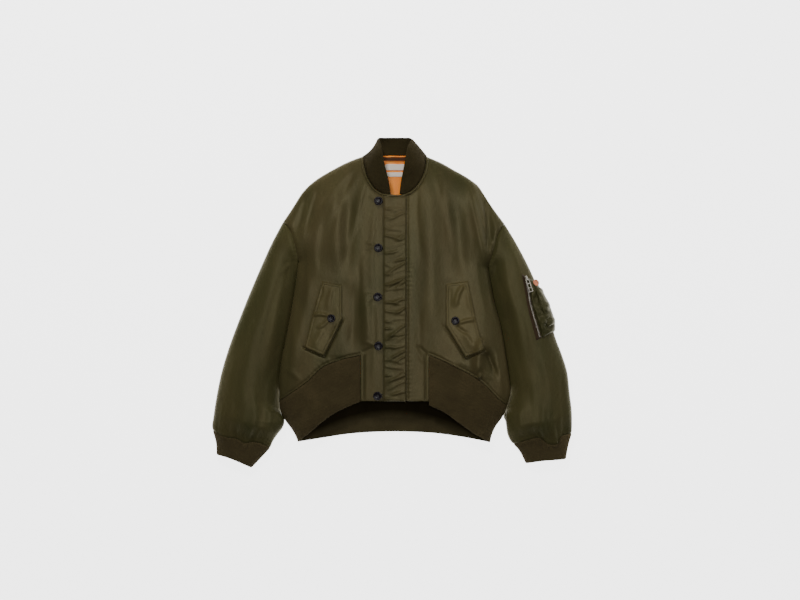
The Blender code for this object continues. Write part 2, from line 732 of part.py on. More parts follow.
def tube(name, outer_rings, inner_rings, finish):
    """A tube's wall between matching rings of points, open at both ends."""
    count = len(outer_rings[0])
    faces = []
    for i in range(len(outer_rings) - 1):
        for j in range(count):
            k = (j + 1) % count
            faces.append([i * count + j, i * count + k, (i + 1) * count + k, (i + 1) * count + j])
    return wall(name, np.concatenate(outer_rings), np.concatenate(inner_rings), faces, finish)


def sleeve_sections():
    """Fractions of the sleeve's length: closer at the armhole and at the cuff."""
    first = [0.0, 0.02, 0.05, 0.09]
    last = [0.93, 0.955, 0.98, 1.0]
    return first + list(np.linspace(0.14, 0.89, SLEEVE_RINGS - 8)) + last


def make_sleeves():
    for side in ("right", "left"):
        outer_rings, inner_rings = [], []
        for t in sleeve_sections():
            start = 0.6 * (1 - t) - GAP * t
            s, z, width = ring(side, t)
            s_in, z_in = turned_in(s, z, SHELL)
            outer = place_ring(side, t, s, z, width)
            inner = place_ring(side, t, s_in, z_in, width)
            shift = sleeve_direction(side, t) * start
            outer[:, :2] += shift
            inner[:, :2] += shift
            outer_rings.append(outer)
            inner_rings.append(inner)
        tube(side + "_sleeve", outer_rings, inner_rings, NYLON)


def sleeve_direction(side, t):
    """The way from the armhole to the cuff, in plan."""
    near = np.mean(sleeve_line(side, max(0, t - 0.02)), axis=0)
    far = np.mean(sleeve_line(side, min(1, t + 0.02)), axis=0)
    return (far - near) / np.linalg.norm(far - near)


def cuff_section(side, t):
    """A cuff's section: plan points and heights all round, from its seam to its end."""
    outer = at_fraction(CURVES["cuff_outer"][side], [t])[0]
    inner = at_fraction(CURVES["cuff_inner"][side], [t])[0]
    width = np.linalg.norm(inner - outer)
    across = (1 - np.cos(np.linspace(0, math.pi, 21))) / 2
    top = cuff_height(across * width, width, CUFF_RISE - 2.5 * t)
    waves = GATHER_DEPTH * np.sin(math.tau * GATHERS * across) * np.sin(math.pi * across)
    top = top + waves * (1 - ease(t / 0.5))
    curl = [(0.0, 0.62), (-3.0, 0.25), (-7.0, 0.04), (-13.0, 0.0)]
    s = list(across * width) + [width + a for a, _ in curl] + [width * k for k in (0.78, 0.56, 0.34)]
    z = list(top) + [top[-1] * b for _, b in curl] + [0.0, 0.0, 0.0]
    s += [-a for a, _ in reversed(curl[1:])] + [0.6]
    z += [top[0] * b for _, b in reversed(curl[1:])] + [top[0] * 0.62]
    return np.array(s), np.array(z), outer, inner, width


def make_cuffs():
    for side in ("right", "left"):
        outer_rings, inner_rings = [], []
        for t in (0.0, 0.12, 0.35, 0.65, 1.0):
            s, z, outer, inner, width = cuff_section(side, t)
            s_in, z_in = turned_in(s, z, RIB)
            rings = []
            for a, b in ((s, z), (s_in, z_in)):
                u = a / width
                plan = outer + np.outer(u, inner - outer)
                within = np.clip(u, 0, 1)
                plan += bowed(CURVES["cuff_seam"][side], within) * (1 - ease(t / 0.6))
                plan += bowed(CURVES["cuff_end"][side], within) * ease(t)
                rings.append(np.concatenate([plan, b[:, None]], axis=1))
            outer_rings.append(rings[0])
            inner_rings.append(rings[1])
        tube(side + "_cuff", outer_rings, inner_rings, KNIT)


def make_collar():
    """The collar's band, folded over at the sides so that it lies nearly flat."""
    rows = []
    for station in COLLAR:
        seam = np.array([station.seam[0], station.seam[1], 0.0])
        seam[2] = station.seam[2] if station.seam[2] is not None else fronts_at(seam[:2])
        middle, free = np.array(station.middle, float), np.array(station.free, float)
        row = []
        for u in np.linspace(0, 1, COLLAR_POINTS_ACROSS):
            point = seam * (1 - u) * (1 - 2 * u) + middle * 4 * u * (1 - u) + free * u * (2 * u - 1)
            row.append(point)
        rows.append(row)
    coarse = np.array(rows)
    stations = len(coarse) * 2 - 1
    fine = np.stack(
        [spline(coarse[:, j], stations) for j in range(COLLAR_POINTS_ACROSS)], axis=1
    )
    normals = np.cross(np.gradient(fine, axis=0), np.gradient(fine, axis=1))
    normals /= np.linalg.norm(normals, axis=2)[..., None]
    if normals[0, 1, 2] < 0:
        normals = -normals
    outer = fine.reshape(-1, 3)
    inner = (fine - normals * RIB).reshape(-1, 3)
    faces = []
    for i in range(stations - 1):
        for j in range(COLLAR_POINTS_ACROSS - 1):
            a = i * COLLAR_POINTS_ACROSS + j
            faces.append([a, a + COLLAR_POINTS_ACROSS, a + COLLAR_POINTS_ACROSS + 1, a + 1])
    wall("collar", outer, inner, faces, KNIT)


def fronts_at(point):
    """Height of the front that the collar's seam meets at this plan point."""
    surface = left_top if point[0] > FRONT_EDGE_X + 1 else body_top
    return float(surface(point[None])[0])


def spline(points, count):
    t = np.arange(len(points))
    slope = np.gradient(points, axis=0)
    at = np.linspace(0, len(points) - 1, count)
    i = np.clip(at.astype(int), 0, len(points) - 2)
    u = (at - t[i])[:, None]
    return (
        (2 * u**3 - 3 * u**2 + 1) * points[i]
        + (u**3 - 2 * u**2 + u) * slope[i]
        + (3 * u**2 - 2 * u**3) * points[i + 1]
        + (u**3 - u**2) * slope[i + 1]
    )


def laid_strip(name, low, high, height, thickness, finish, bend=0.0):
    """A thin flat piece inside the neck, a little bowed if it hangs between its ends."""
    columns = np.linspace(low[0], high[0], 9)
    outer, inner = [], []
    for y in (low[1], high[1]):
        for x in columns:
            u = (x - low[0]) / (high[0] - low[0])
            z = height + bend * 4 * u * (1 - u)
            outer.append((x, y, z + thickness))
            inner.append((x, y, z))
    faces = [[k, k + 1, k + 10, k + 9] for k in range(8)]
    wall(name, np.array(outer), np.array(inner), faces, finish)


def make_inside_neck():
    lining = SHELL + GAP
    on_lining = lining + 1.2 + GAP
    laid_strip("back_lining", (-50, 215), (62, 341.5), lining, 1.2, LINING)
    laid_strip("hanger_loop", (-42, 335.5), (53, 340.5), on_lining, 1.2, NYLON, bend=1.5)
    laid_strip("neck_label", (-27, 312), (39, 326), on_lining, 0.8, LABEL)
    laid_strip("size_label", (-23, 297), (34, 307.5), on_lining, 0.8, LABEL)


def turned(name, profile, finish):
    """A turned piece on its own +Z: profile rows are radius and height from the top down."""
    steps = 20
    mesh = bpy.data.meshes.new(name)
    edges = [(k, k + 1) for k in range(len(profile) - 1)]
    mesh.from_pydata([(r * MM, 0, z * MM) for r, z in profile], edges, [])
    obj = bpy.data.objects.new(name, mesh)
    JACKET.objects.link(obj)
    screw = obj.modifiers.new("turn", "SCREW")
    screw.steps = screw.render_steps = steps
    screw.use_merge_vertices = True
    screw.merge_threshold = 0.00001
    paint(obj, *finish)
    return obj


def button_profile(radius, shank):
    """Top to bottom: a sunk middle, a round rim, a flat back and the thread shank."""
    return [
        (0.0, shank + 2.4),
        (radius * 0.58, shank + 2.4),
        (radius * 0.70, shank + 3.3),
        (radius * 0.88, shank + 3.3),
        (radius, shank + 2.2),
        (radius * 0.94, shank + 0.3),
        (1.8, shank),
        (1.8, 0.0),
        (0.0, 0.0),
    ]


def stand_on(obj, point, surface, lift):
    """Puts an object upright on a surface, on the surface's own normal."""
    plan = np.array([point], float)
    normal = Vector(slope_normals(surface, plan)[0])
    obj.rotation_euler = normal.to_track_quat("Z", "Y").to_euler()
    base = Vector((point[0], point[1], float(surface(plan)[0])))
    obj.location = (base + normal * lift) * MM


def make_buttons():
    for k, (x, y) in enumerate(zip(BUTTON_X, BUTTON_Y), start=1):
        button = turned(f"front_button_{k}", button_profile(BUTTON_RADIUS, 2.7), HORN)
        stand_on(button, (x, y), body_top, GAP)
        make_loop(k, x, y)
    for side in ("right", "left"):
        button = turned(side + "_flap_button", button_profile(FLAP_BUTTON_RADIUS, 0.6), HORN)
        top = left_top if side == "left" else body_top
        low = ease((FLAP_CORNERS[side][0][1] - FLAP_BUTTON[side][1] - 60) / 110)
        above = GAP + FLAP + GAP + FLAP_LIFT * float(low) + 0.2
        stand_on(button, FLAP_BUTTON[side], top, above)


def make_loop(number, x, y):
    """The cord loop round a button's shank, out of the left front's edge."""
    radius, cord = 3.3, 1.0
    end = FRONT_EDGE_X - 0.4
    turn = [
        (x + radius * math.cos(a), y + radius * math.sin(a))
        for a in np.linspace(math.pi / 2, 3 * math.pi / 2, 7)
    ]
    plan = np.array([(end, y + radius), *turn, (end, y - radius)])
    height = body_top(plan) + GAP + cord
    curve = bpy.data.curves.new(f"button_loop_{number}", "CURVE")
    curve.dimensions = "3D"
    curve.bevel_depth = cord * MM
    curve.bevel_resolution = 1
    curve.use_fill_caps = True
    line = curve.splines.new("POLY")
    line.points.add(len(plan) - 1)
    for point, (px, py), z in zip(line.points, plan, height):
        point.co = (px * MM, py * MM, z * MM, 1)
    obj = bpy.data.objects.new(f"button_loop_{number}", curve)
    JACKET.objects.link(obj)
    paint(obj, *CORD)


def on_sleeve(t, across, lift):
    """A point on the left sleeve's faceted outer face, moved out."""
    marks = np.array(sleeve_sections())
    i = int(np.clip(np.searchsorted(marks, t) - 1, 0, len(marks) - 2))
    share = (t - marks[i]) / (marks[i + 1] - marks[i])
    near = on_section(marks[i], across, lift)
    return near + (on_section(marks[i + 1], across, lift) - near) * share


def on_section(t, across, lift):
    """A point on a section of the left sleeve. Across under 0 is below its outer edge."""
    s, z, width = ring("left", t)
    ring_s = np.concatenate([s[-4:], s[:21]])
    ring_z = np.concatenate([z[-4:], z[:21]])
    run = np.concatenate([[0], np.cumsum(np.hypot(np.diff(ring_s), np.diff(ring_z)))])
    run -= run[4]
    at = across * width
    here = np.array([np.interp(at, run, ring_s), np.interp(at, run, ring_z)])
    ahead = np.array([np.interp(at + 1.5, run, ring_s), np.interp(at + 1.5, run, ring_z)])
    behind = np.array([np.interp(at - 1.5, run, ring_s), np.interp(at - 1.5, run, ring_z)])
    tangent = (ahead - behind) / np.linalg.norm(ahead - behind)
    s_out, z_out = here[0] - tangent[1] * lift, here[1] + tangent[0] * lift
    plan = sleeve_plan("left", t, np.array([s_out / width]))[0]
    return np.array([plan[0], plan[1], z_out])


def pocket_place(u, v):
    """Length and width fractions at a place in the pocket: u down it, v out from the zip."""
    corners = np.array(POCKET_CORNERS)
    top = corners[0] * (1 - v) + corners[3] * v
    low = corners[1] * (1 - v) + corners[2] * v
    return top * (1 - u) + low * u


def sleeve_patch(name, u_range, v_range, lift, thickness, puff, counts, finish):
    """A piece of cloth on the sleeve pocket's place, puffed up in its middle."""
    outer, inner = [], []
    rows = np.linspace(*u_range, counts[0])
    columns = np.linspace(*v_range, counts[1])
    for u in rows:
        for v in columns:
            t, across = pocket_place(u, v)
            swell_u = crown((u - u_range[0]) * 100, 18) * crown((u_range[1] - u) * 100, 18)
            swell_v = crown((v - v_range[0]) * 60, 14) * crown((v_range[1] - v) * 60, 14)
            base = lift + puff * swell_u * swell_v
            inner.append(on_sleeve(t, across, base))
            outer.append(on_sleeve(t, across, base + thickness))
    faces = []
    width = len(columns)
    for i in range(len(rows) - 1):
        for j in range(width - 1):
            a = i * width + j
            faces.append([a, a + 1, a + width + 1, a + width])
    wall(name, np.array(outer), np.array(inner), faces, finish)


def make_sleeve_pocket():
    sleeve_patch("sleeve_pocket", (0, 1), (0.1, 1), 0.9, SHELL, 3.4, (9, 8), NYLON)
    sleeve_patch("pen_pocket", (0.1, 0.87), (0.45, 0.97), 7.2, THIN, 1.4, (8, 6), NYLON)
    sleeve_patch("sleeve_zip_chain", (0, 0.985), (-0.03, 0.04), GAP, 1.5, 0.0, (9, 2), METAL)
    tab = sleeve_frame(-0.12, 0.8, GAP)
    disc = turned("sleeve_tab", [(0, 3.0), (5.6, 3.0), (7.2, 1.8), (7.2, 0.9), (6.0, 0), (0, 0)], LINING)
    disc.matrix_world = tab
    make_zip_pull()


def sleeve_frame(u, v, lift):
    """A frame on the sleeve: its origin moved out, +Z out of the cloth, +Y up the zip."""
    here = on_sleeve(*pocket_place(u, v), lift)
    up = on_sleeve(*pocket_place(u - 0.03, v), lift) - on_sleeve(*pocket_place(u + 0.03, v), lift)
    aside = on_sleeve(*pocket_place(u, v + 0.04), lift) - on_sleeve(*pocket_place(u, v - 0.04), lift)
    y_axis = Vector(up).normalized()
    z_axis = Vector(aside).cross(y_axis).normalized()
    if z_axis.z < 0:
        z_axis = -z_axis
    x_axis = y_axis.cross(z_axis)
    frame = Matrix((x_axis, y_axis, z_axis)).transposed().to_4x4()
    frame.translation = Vector(here) * MM
    return frame


def make_zip_pull():
    """A slider with an arched bail, and a plain ladder-shaped pull whose end bar it holds."""
    frame = sleeve_frame(0.03, 0.0, GAP)
    top = SLIDER_BASE + SLIDER[2]
    pieces = [box_mesh(SLIDER, (0, 0, SLIDER_BASE + SLIDER[2] / 2))]
    for y in (-BAIL_REACH, BAIL_REACH):
        pieces.append(box_mesh((1.4, 1.2, BAIL_HEIGHT), (0, y, top - 0.2 + BAIL_HEIGHT / 2)))
    bar = (1.4, 2 * BAIL_REACH + 1.2, 1.0)
    pieces.append(box_mesh(bar, (0, 0, top - 0.2 + BAIL_HEIGHT - 0.5)))
    slider = union_object("sleeve_zip_slider", pieces, METAL)
    slider.matrix_world = frame

    eye = (PULL_EYE_WIDTH - 1.1) / 2
    rails_end = -PULL_EYE_LENGTH - 1.5
    pieces = [box_mesh((PULL_EYE_WIDTH, 1.2, PULL_THICK), (0, 0, 0))]
    for x in (-eye, eye):
        pieces.append(box_mesh((1.1, -rails_end, PULL_THICK), (x, rails_end / 2, 0)))
    body = PULL_LENGTH - PULL_EYE_LENGTH
    for k in range(PULL_RUNGS):
        y = -PULL_EYE_LENGTH - PULL_BAR / 2 - k * (body - PULL_BAR) / (PULL_RUNGS - 1)
        pieces.append(box_mesh((PULL_WIDTH, PULL_BAR, PULL_THICK), (0, y, 0)))
    for x in (-1, 1):
        place = (x * (PULL_WIDTH - PULL_BAR) / 2, -PULL_EYE_LENGTH - body / 2, 0)
        pieces.append(box_mesh((PULL_BAR, body - 0.6, PULL_THICK), place))
    pull = union_object("sleeve_zip_pull", pieces, METAL)
    pull.matrix_world = frame @ Matrix.Translation(Vector((0, 0, PULL_HEIGHT)) * MM)


def box_mesh(size, centre):
    made = bmesh.new()
    bmesh.ops.create_cube(made, size=1.0)
    for vert in made.verts:
        vert.co = Vector([(vert.co[k] * size[k] + centre[k]) * MM for k in range(3)])
    mesh = bpy.data.meshes.new("box")
    made.to_mesh(mesh)
    made.free()
    return mesh


def union_object(name, meshes, finish):
    """Joins closed meshes into one body with Boolean unions."""
    obj = bpy.data.objects.new(name, meshes[0])
    JACKET.objects.link(obj)
    for k, mesh in enumerate(meshes[1:]):
        other = bpy.data.objects.new(f"{name}_piece_{k}", mesh)
        CUTTERS.objects.link(other)
        other.parent = obj
        other.hide_render = True
        other.display_type = "WIRE"
        join = obj.modifiers.new(f"join {k}", "BOOLEAN")
        join.operation = "UNION"
        join.object = other
    paint(obj, *finish)
    return obj


def clear_scene():
    for obj in list(bpy.data.objects):
        bpy.data.objects.remove(obj)


def collection(name):
    made = bpy.data.collections.new(name)
    bpy.context.scene.collection.children.link(made)
    return made


clear_scene()
JACKET = collection("bomber jacket")
CUTTERS = collection("cutters")
make_back()
make_fronts()
make_hem_ribs()
make_flaps()
make_sleeves()
make_cuffs()
make_collar()
make_inside_neck()
make_buttons()
make_sleeve_pocket()
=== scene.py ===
"""Looks of a bomber jacket that lies flat on its back on a pale floor, seen from above.

The wearer's right is at -X and the collar at +Y. Tables and sizes are in millimetres, and
each mesh is made in metres. Cloth pieces repeat the named sizes of the solids that they
stand for, on a finer net, with creases, puckers and stitches added.
"""

import math
from collections import namedtuple

import bmesh
import bpy
import numpy as np
from mathutils import Matrix, Vector
from mathutils.geometry import delaunay_2d_cdt


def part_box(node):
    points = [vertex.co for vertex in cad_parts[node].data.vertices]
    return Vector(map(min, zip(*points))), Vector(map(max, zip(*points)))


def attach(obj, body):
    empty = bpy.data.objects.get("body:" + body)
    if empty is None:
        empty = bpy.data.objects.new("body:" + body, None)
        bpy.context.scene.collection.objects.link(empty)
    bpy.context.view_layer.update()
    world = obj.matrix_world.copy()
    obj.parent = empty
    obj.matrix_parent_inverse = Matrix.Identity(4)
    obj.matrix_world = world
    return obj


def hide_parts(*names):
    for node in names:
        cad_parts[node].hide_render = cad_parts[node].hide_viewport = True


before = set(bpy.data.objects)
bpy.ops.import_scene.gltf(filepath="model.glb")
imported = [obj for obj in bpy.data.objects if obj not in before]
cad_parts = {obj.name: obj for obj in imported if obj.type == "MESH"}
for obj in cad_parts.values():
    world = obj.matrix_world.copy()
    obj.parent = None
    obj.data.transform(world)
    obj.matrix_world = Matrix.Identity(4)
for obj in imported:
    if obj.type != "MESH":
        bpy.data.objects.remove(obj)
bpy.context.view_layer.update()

MM = 0.001
JACKET = "jacket"

# The same sizes as the solids have.
SEAM = 0.15
GAP = 0.3
SHELL = 2.5
RIB = 3.0
FLAP = 2.0
THIN = 1.0
FOLD_HEIGHT = 12.0
HEM_CORNER_HEIGHT = 8.0
# The folded edge starts to drop to its corner here, over this length.
CORNER_TOP = -240
CORNER_DROP = 80
BODY_RISE = 20.0
SIDE_REACH = 75.0
SHOULDER_REACH = 85.0
CURL = 14.0
LAP = 3.4
FRONT_EDGE_X = -21.5
PLACKET_X = 33.5
UNDERLAP_X = 2.0
HEM_Y = -229.0
TUCK = 14.0
TUCK_HEIGHT = 6.3
SLEEVE_RISE = 24.0
CUFF_RISE = 11.0
CUFF_EDGE = 9.0
GATHERS = 7
SKIRT = 9.0
GATHER_DEPTH = 1.0
BUTTON_RADIUS = 10.0
FLAP_BUTTON_RADIUS = 9.6

SIDES = ("right", "left")

Fold = namedtuple("Fold", "x0 y0 x1 y1 width rise")
Station = namedtuple("Station", "seam middle free")

# Outlines as x, y: the neck end of each shoulder first, then down to the hem.
SHOULDER = {
    "right": [(-68, 344.5), (-84, 339), (-104, 331), (-140, 312.5), (-173, 293), (-197, 274), (-213, 256),
              (-225, 237), (-237, 218), (-256, 190)],
    "left": [(80, 344.5), (94, 338.5), (112, 331), (144, 313), (179, 293), (203, 274), (215, 256),
             (227, 237), (240, 218), (264, 186)],
}
ARMHOLE = {
    "right": [(-256, 190), (-242, 176), (-229, 141), (-220, 96)],
    "left": [(264, 186), (251, 166), (238, 126), (226, 82)],
}
SIDE = {
    "right": [(-220, 96), (-228, 37), (-244, -55), (-251, -90), (-262, -146), (-265, -229)],
    "left": [(226, 82), (238, 13), (254, -49), (266, -116), (275, -178), (278, -212), (270, -239)],
}
RIB_SIDE = {
    "right": [(-265, -229), (-263, -247), (-256.5, -266), (-247.5, -280), (-237, -294), (-228, -309),
              (-221, -326)],
    "left": [(270, -239), (266, -254), (258, -269), (243, -290), (235, -308), (230, -327)],
}
RIB_SEAM = {
    "right": [(-265, -229), (-230, -206), (-199, -184), (-160, -148), (-122, -133), (-73.5, -121.5)],
    "left": [(270, -239), (251, -226), (219, -193), (196, -175), (150, -150), (117, -134),
             (86, -120.5)],
}
RIB_HEM = {
    "right": [(-73.5, -230), (-131, -256), (-164, -279), (-187, -299), (-221, -326)],
    "left": [(86, -239), (117, -253), (156, -280), (189, -304), (229, -327)],
}
BACK_HEM = [(-221, -326), (-164, -317), (-105, -308), (-48, -303.5), (34, -302.5), (100, -306),
            (166, -315), (229, -327)]
BACK_RIB_SEAM = [(-265, -229), (-200, -214), (-110, -204), (5, -200), (115, -205), (205, -219),
                 (270, -239)]
NECKLINE = {
    "right": [(-68, 344.5), (-63, 312), (-53.5, 286), (-36, 264), (-21.5, 256)],
    "left": [(80, 344.5), (79, 320), (67.5, 288.5), (50, 266), (33.5, 256), (7, 253), (-21.5, 256)],
}
BACK_NECK = [(-68, 344.5), (-50, 345), (5, 345), (60, 345), (80, 344.5)]

# The outer edge of each sleeve, from the top of the armhole to the cuff.
SLEEVE_OUTER = {
    "right": [(-256, 190), (-281, 143), (-307, 86), (-331, 30), (-361, -45), (-382, -102),
              (-399, -158), (-411, -214), (-420, -271), (-422.5, -290), (-421, -299)],
    "left": [(264, 186), (290, 143), (320, 86), (345, 30), (369, -26), (384, -83), (398, -120),
             (410, -158), (417, -214), (421.5, -252), (422.5, -285), (422, -306)],
}
# Where the body's side hides the sleeve, and below it the sleeve's own inner edge.
SLEEVE_INNER = {
    "right": [(-219, 96), (-227.6, 37), (-244.5, -55), (-251.5, -90), (-262.5, -146),
              (-267, -215), (-267, -235), (-262, -256), (-255, -271), (-253, -280), (-257, -292),
              (-269, -308), (-281, -327), (-286, -340)],
    "left": [(225, 82), (237.6, 13), (254.5, -49), (266.5, -116), (275.5, -178), (279, -212),
             (272, -236), (269, -250), (266.5, -264), (268, -290), (271, -308), (280, -326),
             (285, -331)],
}
CUFF_SEAM = {
    "right": [(-421, -299), (-395, -313), (-364, -318.5), (-342, -329), (-330, -326),
              (-298, -333), (-286, -340)],
    "left": [(422, -306), (396, -313), (388, -329), (366, -330), (346, -316), (316, -322),
             (285, -331)],
}
CUFF_END = {
    "right": [(-412, -355.5), (-386, -362.5), (-357, -374), (-330, -386.5)],
    "left": [(408, -366), (384, -368), (356, -370), (314, -376)],
}
CUFF_OUTER = {
    "right": [(-421, -299), (-413.5, -327), (-412, -355.5)],
    "left": [(422, -306), (415, -330), (408, -366)],
}
CUFF_INNER = {
    "right": [(-286, -340), (-300, -355), (-330, -386.5)],
    "left": [(285, -331), (297, -344), (314, -376)],
}

# Large soft folds of the fronts: a ridge where rise is over 0, a trough where it is under.
FRONT_FOLDS = [
    (-134, 270, -127, 90, 24, 3.5),
    (-172, 275, -205, 170, 15, -3.5),
    (-100, 250, -106, 80, 15, -2.5),
    (-93, 40, -94, -100, 17, -3.5),
    (-60, 20, -54, -105, 14, 2.5),
    (-195, 60, -240, -150, 15, 3.0),
    (86, 285, 92, -90, 24, 4.4),
    (150, 240, 166, 60, 18, -3.0),
    (180, 290, 243, -50, 10, 3.0),
    (205, 265, 232, 120, 11, -4.0),
    (208, -85, 198, -165, 12, 5.0),
    (226, -110, 243, -175, 9, -4.0),
]
FOLD_GAIN = 1.4
# Seen along the sleeve from its armhole, as fractions of its length and of its width.
SleeveFold = namedtuple("SleeveFold", "length0 length1 across0 across1 width rise")
SLEEVE_FOLDS = {
    "right": [
        (0.12, 0.55, 0.52, 0.60, 0.09, -3.0),
        (0.45, 0.92, 0.36, 0.42, 0.10, 2.5),
        (0.55, 0.95, 0.66, 0.72, 0.09, -2.5),
    ],
    "left": [
        (0.10, 0.50, 0.62, 0.66, 0.10, 3.0),
        (0.25, 0.62, 0.80, 0.82, 0.07, -3.0),
        (0.55, 0.92, 0.48, 0.52, 0.10, -3.0),
    ],
}

# The collar runs from one front end round the back of the neck to the other. Each row gives
# x, y, z on its seam, halfway and on its free edge. None takes the height of the fronts.
COLLAR = [
    ((-21.5, 256.4, None), (-12, 254.8, 33), (-2.5, 254, 33)),
    ((-35.5, 264.6, None), (-21, 272, 34), (-7, 281, 33.5)),
    ((-52.8, 286.6, None), (-33, 297, 34), (-13, 308, 33.5)),
    ((-62, 312, None), (-41, 324, 33), (-19, 334, 32.5)),
    ((-65.5, 328, None), (-44, 343, 29), (-23.5, 362, 29)),
    ((-69.5, 342, 15), (-47, 357, 20), (-30, 381, 20)),
    ((-71.5, 344, 9), (-49, 361, 11.5), (-34.5, 386, 12)),
    ((-64, 346, 3.6), (-46, 361, 3.6), (-30, 389, 4)),
    ((-40, 346, 0.2), (-30, 364, 0.2), (-15, 389, 0.2)),
    ((5, 346, 0.2), (5, 366, 0.2), (5, 389, 0.2)),
    ((50, 346, 0.2), (42, 364, 0.2), (27, 389, 0.2)),
    ((75, 346, 3.6), (62, 363, 3.6), (42, 389, 4)),
    ((83, 344, 9), (66.5, 364, 11.5), (48, 385, 12)),
    ((81, 342, 15), (64, 359, 20), (43, 380, 20)),
    ((78.5, 328, None), (57, 344, 29), (35, 362, 29)),
    ((76.5, 312, None), (54, 324, 33), (30.5, 334, 32.5)),
    ((66.7, 289, None), (45, 297, 34), (25.5, 308, 33.5)),
    ((49.6, 266.6, None), (34, 272, 35), (20.5, 281, 34.5)),
    ((33.5, 256.4, None), (26, 255, 36), (17, 254.2, 35)),
]

# Corners of each flap, its top inner corner first, and its button's place.
FLAP_CORNERS = {
    "right": [(-116, 43), (-163.5, 51.5), (-187, -29), (-205, -103.5), (-159, -123.5), (-116, -37)],
    "left": [(125, 45), (178, 52.5), (198, -44), (215.5, -109), (171, -127), (125, -52)],
}
FLAP_BUTTON = {"right": (-141.5, -35.5), "left": (147.5, -41)}
FLAP_LIFT = 3.0
# A flap starts to lift this far below its top corner, and is fully lifted this much lower.
FLAP_HELD, FLAP_RISES = 60, 110
# Where each side's own uneven form starts.
FRONT_SEED = {"right": 1.3, "left": 5.1}
RIB_SEED = {"right": 8.0, "left": 3.0}
GATHER_SEED = {"right": 1.0, "left": 2.4}
# The upright edge of each front beside its hem rib.
EXTENSION_X = {"right": -73.5, "left": 86}

BUTTON_Y = [238.5, 129, 14.5, -99.5, -216.5]
BUTTON_X = [-31.8, -31.8, -33.5, -31.8, -34]

# The sleeve pocket's corners on the left sleeve, as fractions along it and across it from
# its outer edge: upper inner, lower inner, lower outer, upper outer.
POCKET_CORNERS = [(0.235, 0.21), (0.52, 0.35), (0.535, -0.06), (0.33, -0.03)]


def segments(curve):
    return np.linalg.norm(np.diff(curve, axis=0), axis=1)


def run_along(curve):
    return np.concatenate([[0], np.cumsum(segments(curve))])


def resample(curve, marks):
    """Points of a curve at these distances along it."""
    run = run_along(curve)
    return np.stack([np.interp(marks, run, curve[:, k]) for k in range(curve.shape[1])], axis=1)


def between(p, slope, i, u, h):
    """Places on the smooth curve between points i and i + 1, a share u of the way along h."""
    return (
        (2 * u**3 - 3 * u**2 + 1) * p[i]
        + (u**3 - 2 * u**2 + u) * h * slope[i]
        + (3 * u**2 - 2 * u**3) * p[i + 1]
        + (u**3 - u**2) * h * slope[i + 1]
    )


def smooth(points):
    """A smooth curve through the given points, as points about 1 mm apart."""
    p = np.array(points, float)
    t = run_along(p)
    slope = np.gradient(p, t, axis=0)
    at = np.linspace(0, t[-1], int(t[-1]) + 2)
    i = np.clip(np.searchsorted(t, at, side="right") - 1, 0, len(t) - 2)
    h = (t[i + 1] - t[i])[:, None]
    return between(p, slope, i, (at - t[i])[:, None] / h, h)


def at_fraction(curve, fractions):
    return resample(curve, np.asarray(fractions) * segments(curve).sum())


FAR = 999.0


def near(points, curve, reach):
    """Which points may lie within this reach of the curve."""
    low, high = curve[:, :2].min(0) - reach, curve[:, :2].max(0) + reach
    return ((points[:, :2] > low) & (points[:, :2] < high)).all(1)


def distance(points, curve, reach=100.0):
    """How far each point is from a curve, in plan; beyond the reach it is only far."""
    points = np.atleast_2d(points)
    result = np.full(len(points), FAR)
    close = near(points, curve, reach)
    p = points[close][:, None, :2]
    thin = resample(curve, np.linspace(0, segments(curve).sum(), 60))
    a = thin[None, :-1, :2]
    ab = thin[None, 1:, :2] - a
    along = np.clip(((p - a) * ab).sum(2) / (ab**2).sum(2), 0, 1)
    result[close] = np.linalg.norm(p - a - along[..., None] * ab, axis=2).min(1)
    return result


def crown(d, reach):
    """0 on a folded edge and 1 from `reach` on, a quarter of an ellipse between."""
    return np.sqrt(1 - (1 - np.clip(d / reach, 0, 1)) ** 2)


def ease(x):
    x = np.clip(x, 0, 1)
    return x * x * (3 - 2 * x)


CURVES = {
    name: {side: smooth(points) for side, points in table.items()}
    for name, table in {
        "shoulder": SHOULDER,
        "armhole": ARMHOLE,
        "side": SIDE,
        "rib_side": RIB_SIDE,
        "rib_seam": RIB_SEAM,
        "rib_hem": RIB_HEM,
        "neckline": NECKLINE,
        "outer": SLEEVE_OUTER,
        "inner": SLEEVE_INNER,
        "cuff_seam": CUFF_SEAM,
        "cuff_end": CUFF_END,
        "cuff_outer": CUFF_OUTER,
        "cuff_inner": CUFF_INNER,
    }.items()
}
BACK_HEM_CURVE = smooth(BACK_HEM)
BACK_RIB_CURVE = smooth(BACK_RIB_SEAM)
BACK_NECK_CURVE = smooth(BACK_NECK)
UPPER_EDGE = {
    side: np.concatenate([CURVES["shoulder"][side], CURVES["outer"][side][1:]])
    for side in SIDES
}
LOWER_EDGE = {
    side: np.concatenate([CURVES["side"][side], CURVES["rib_side"][side][1:]])
    for side in SIDES
}


def fold_relief(points, folds):
    """The height that the soft folds add: each fades out at its ends and to its sides."""
    total = np.zeros(len(points))
    for row in folds:
        fold = Fold(*row)
        a = np.array([fold.x0, fold.y0])
        ab = np.array([fold.x1, fold.y1]) - a
        u = ((points[:, :2] - a) @ ab) / (ab @ ab)
        off = np.abs((points[:, 0] - a[0]) * ab[1] - (points[:, 1] - a[1]) * ab[0])
        off /= np.linalg.norm(ab)
        fade = ease((u + 0.15) / 0.4) * ease((1.15 - u) / 0.4)
        total += FOLD_GAIN * fold.rise * fade * np.exp(-((off / fold.width) ** 2))
    return total


def edge_height(points):
    """Height of the folded edges: lower at the hem's corners."""
    down = ease((CORNER_TOP - points[:, 1]) / CORNER_DROP)
    return FOLD_HEIGHT - (FOLD_HEIGHT - HEM_CORNER_HEIGHT) * down


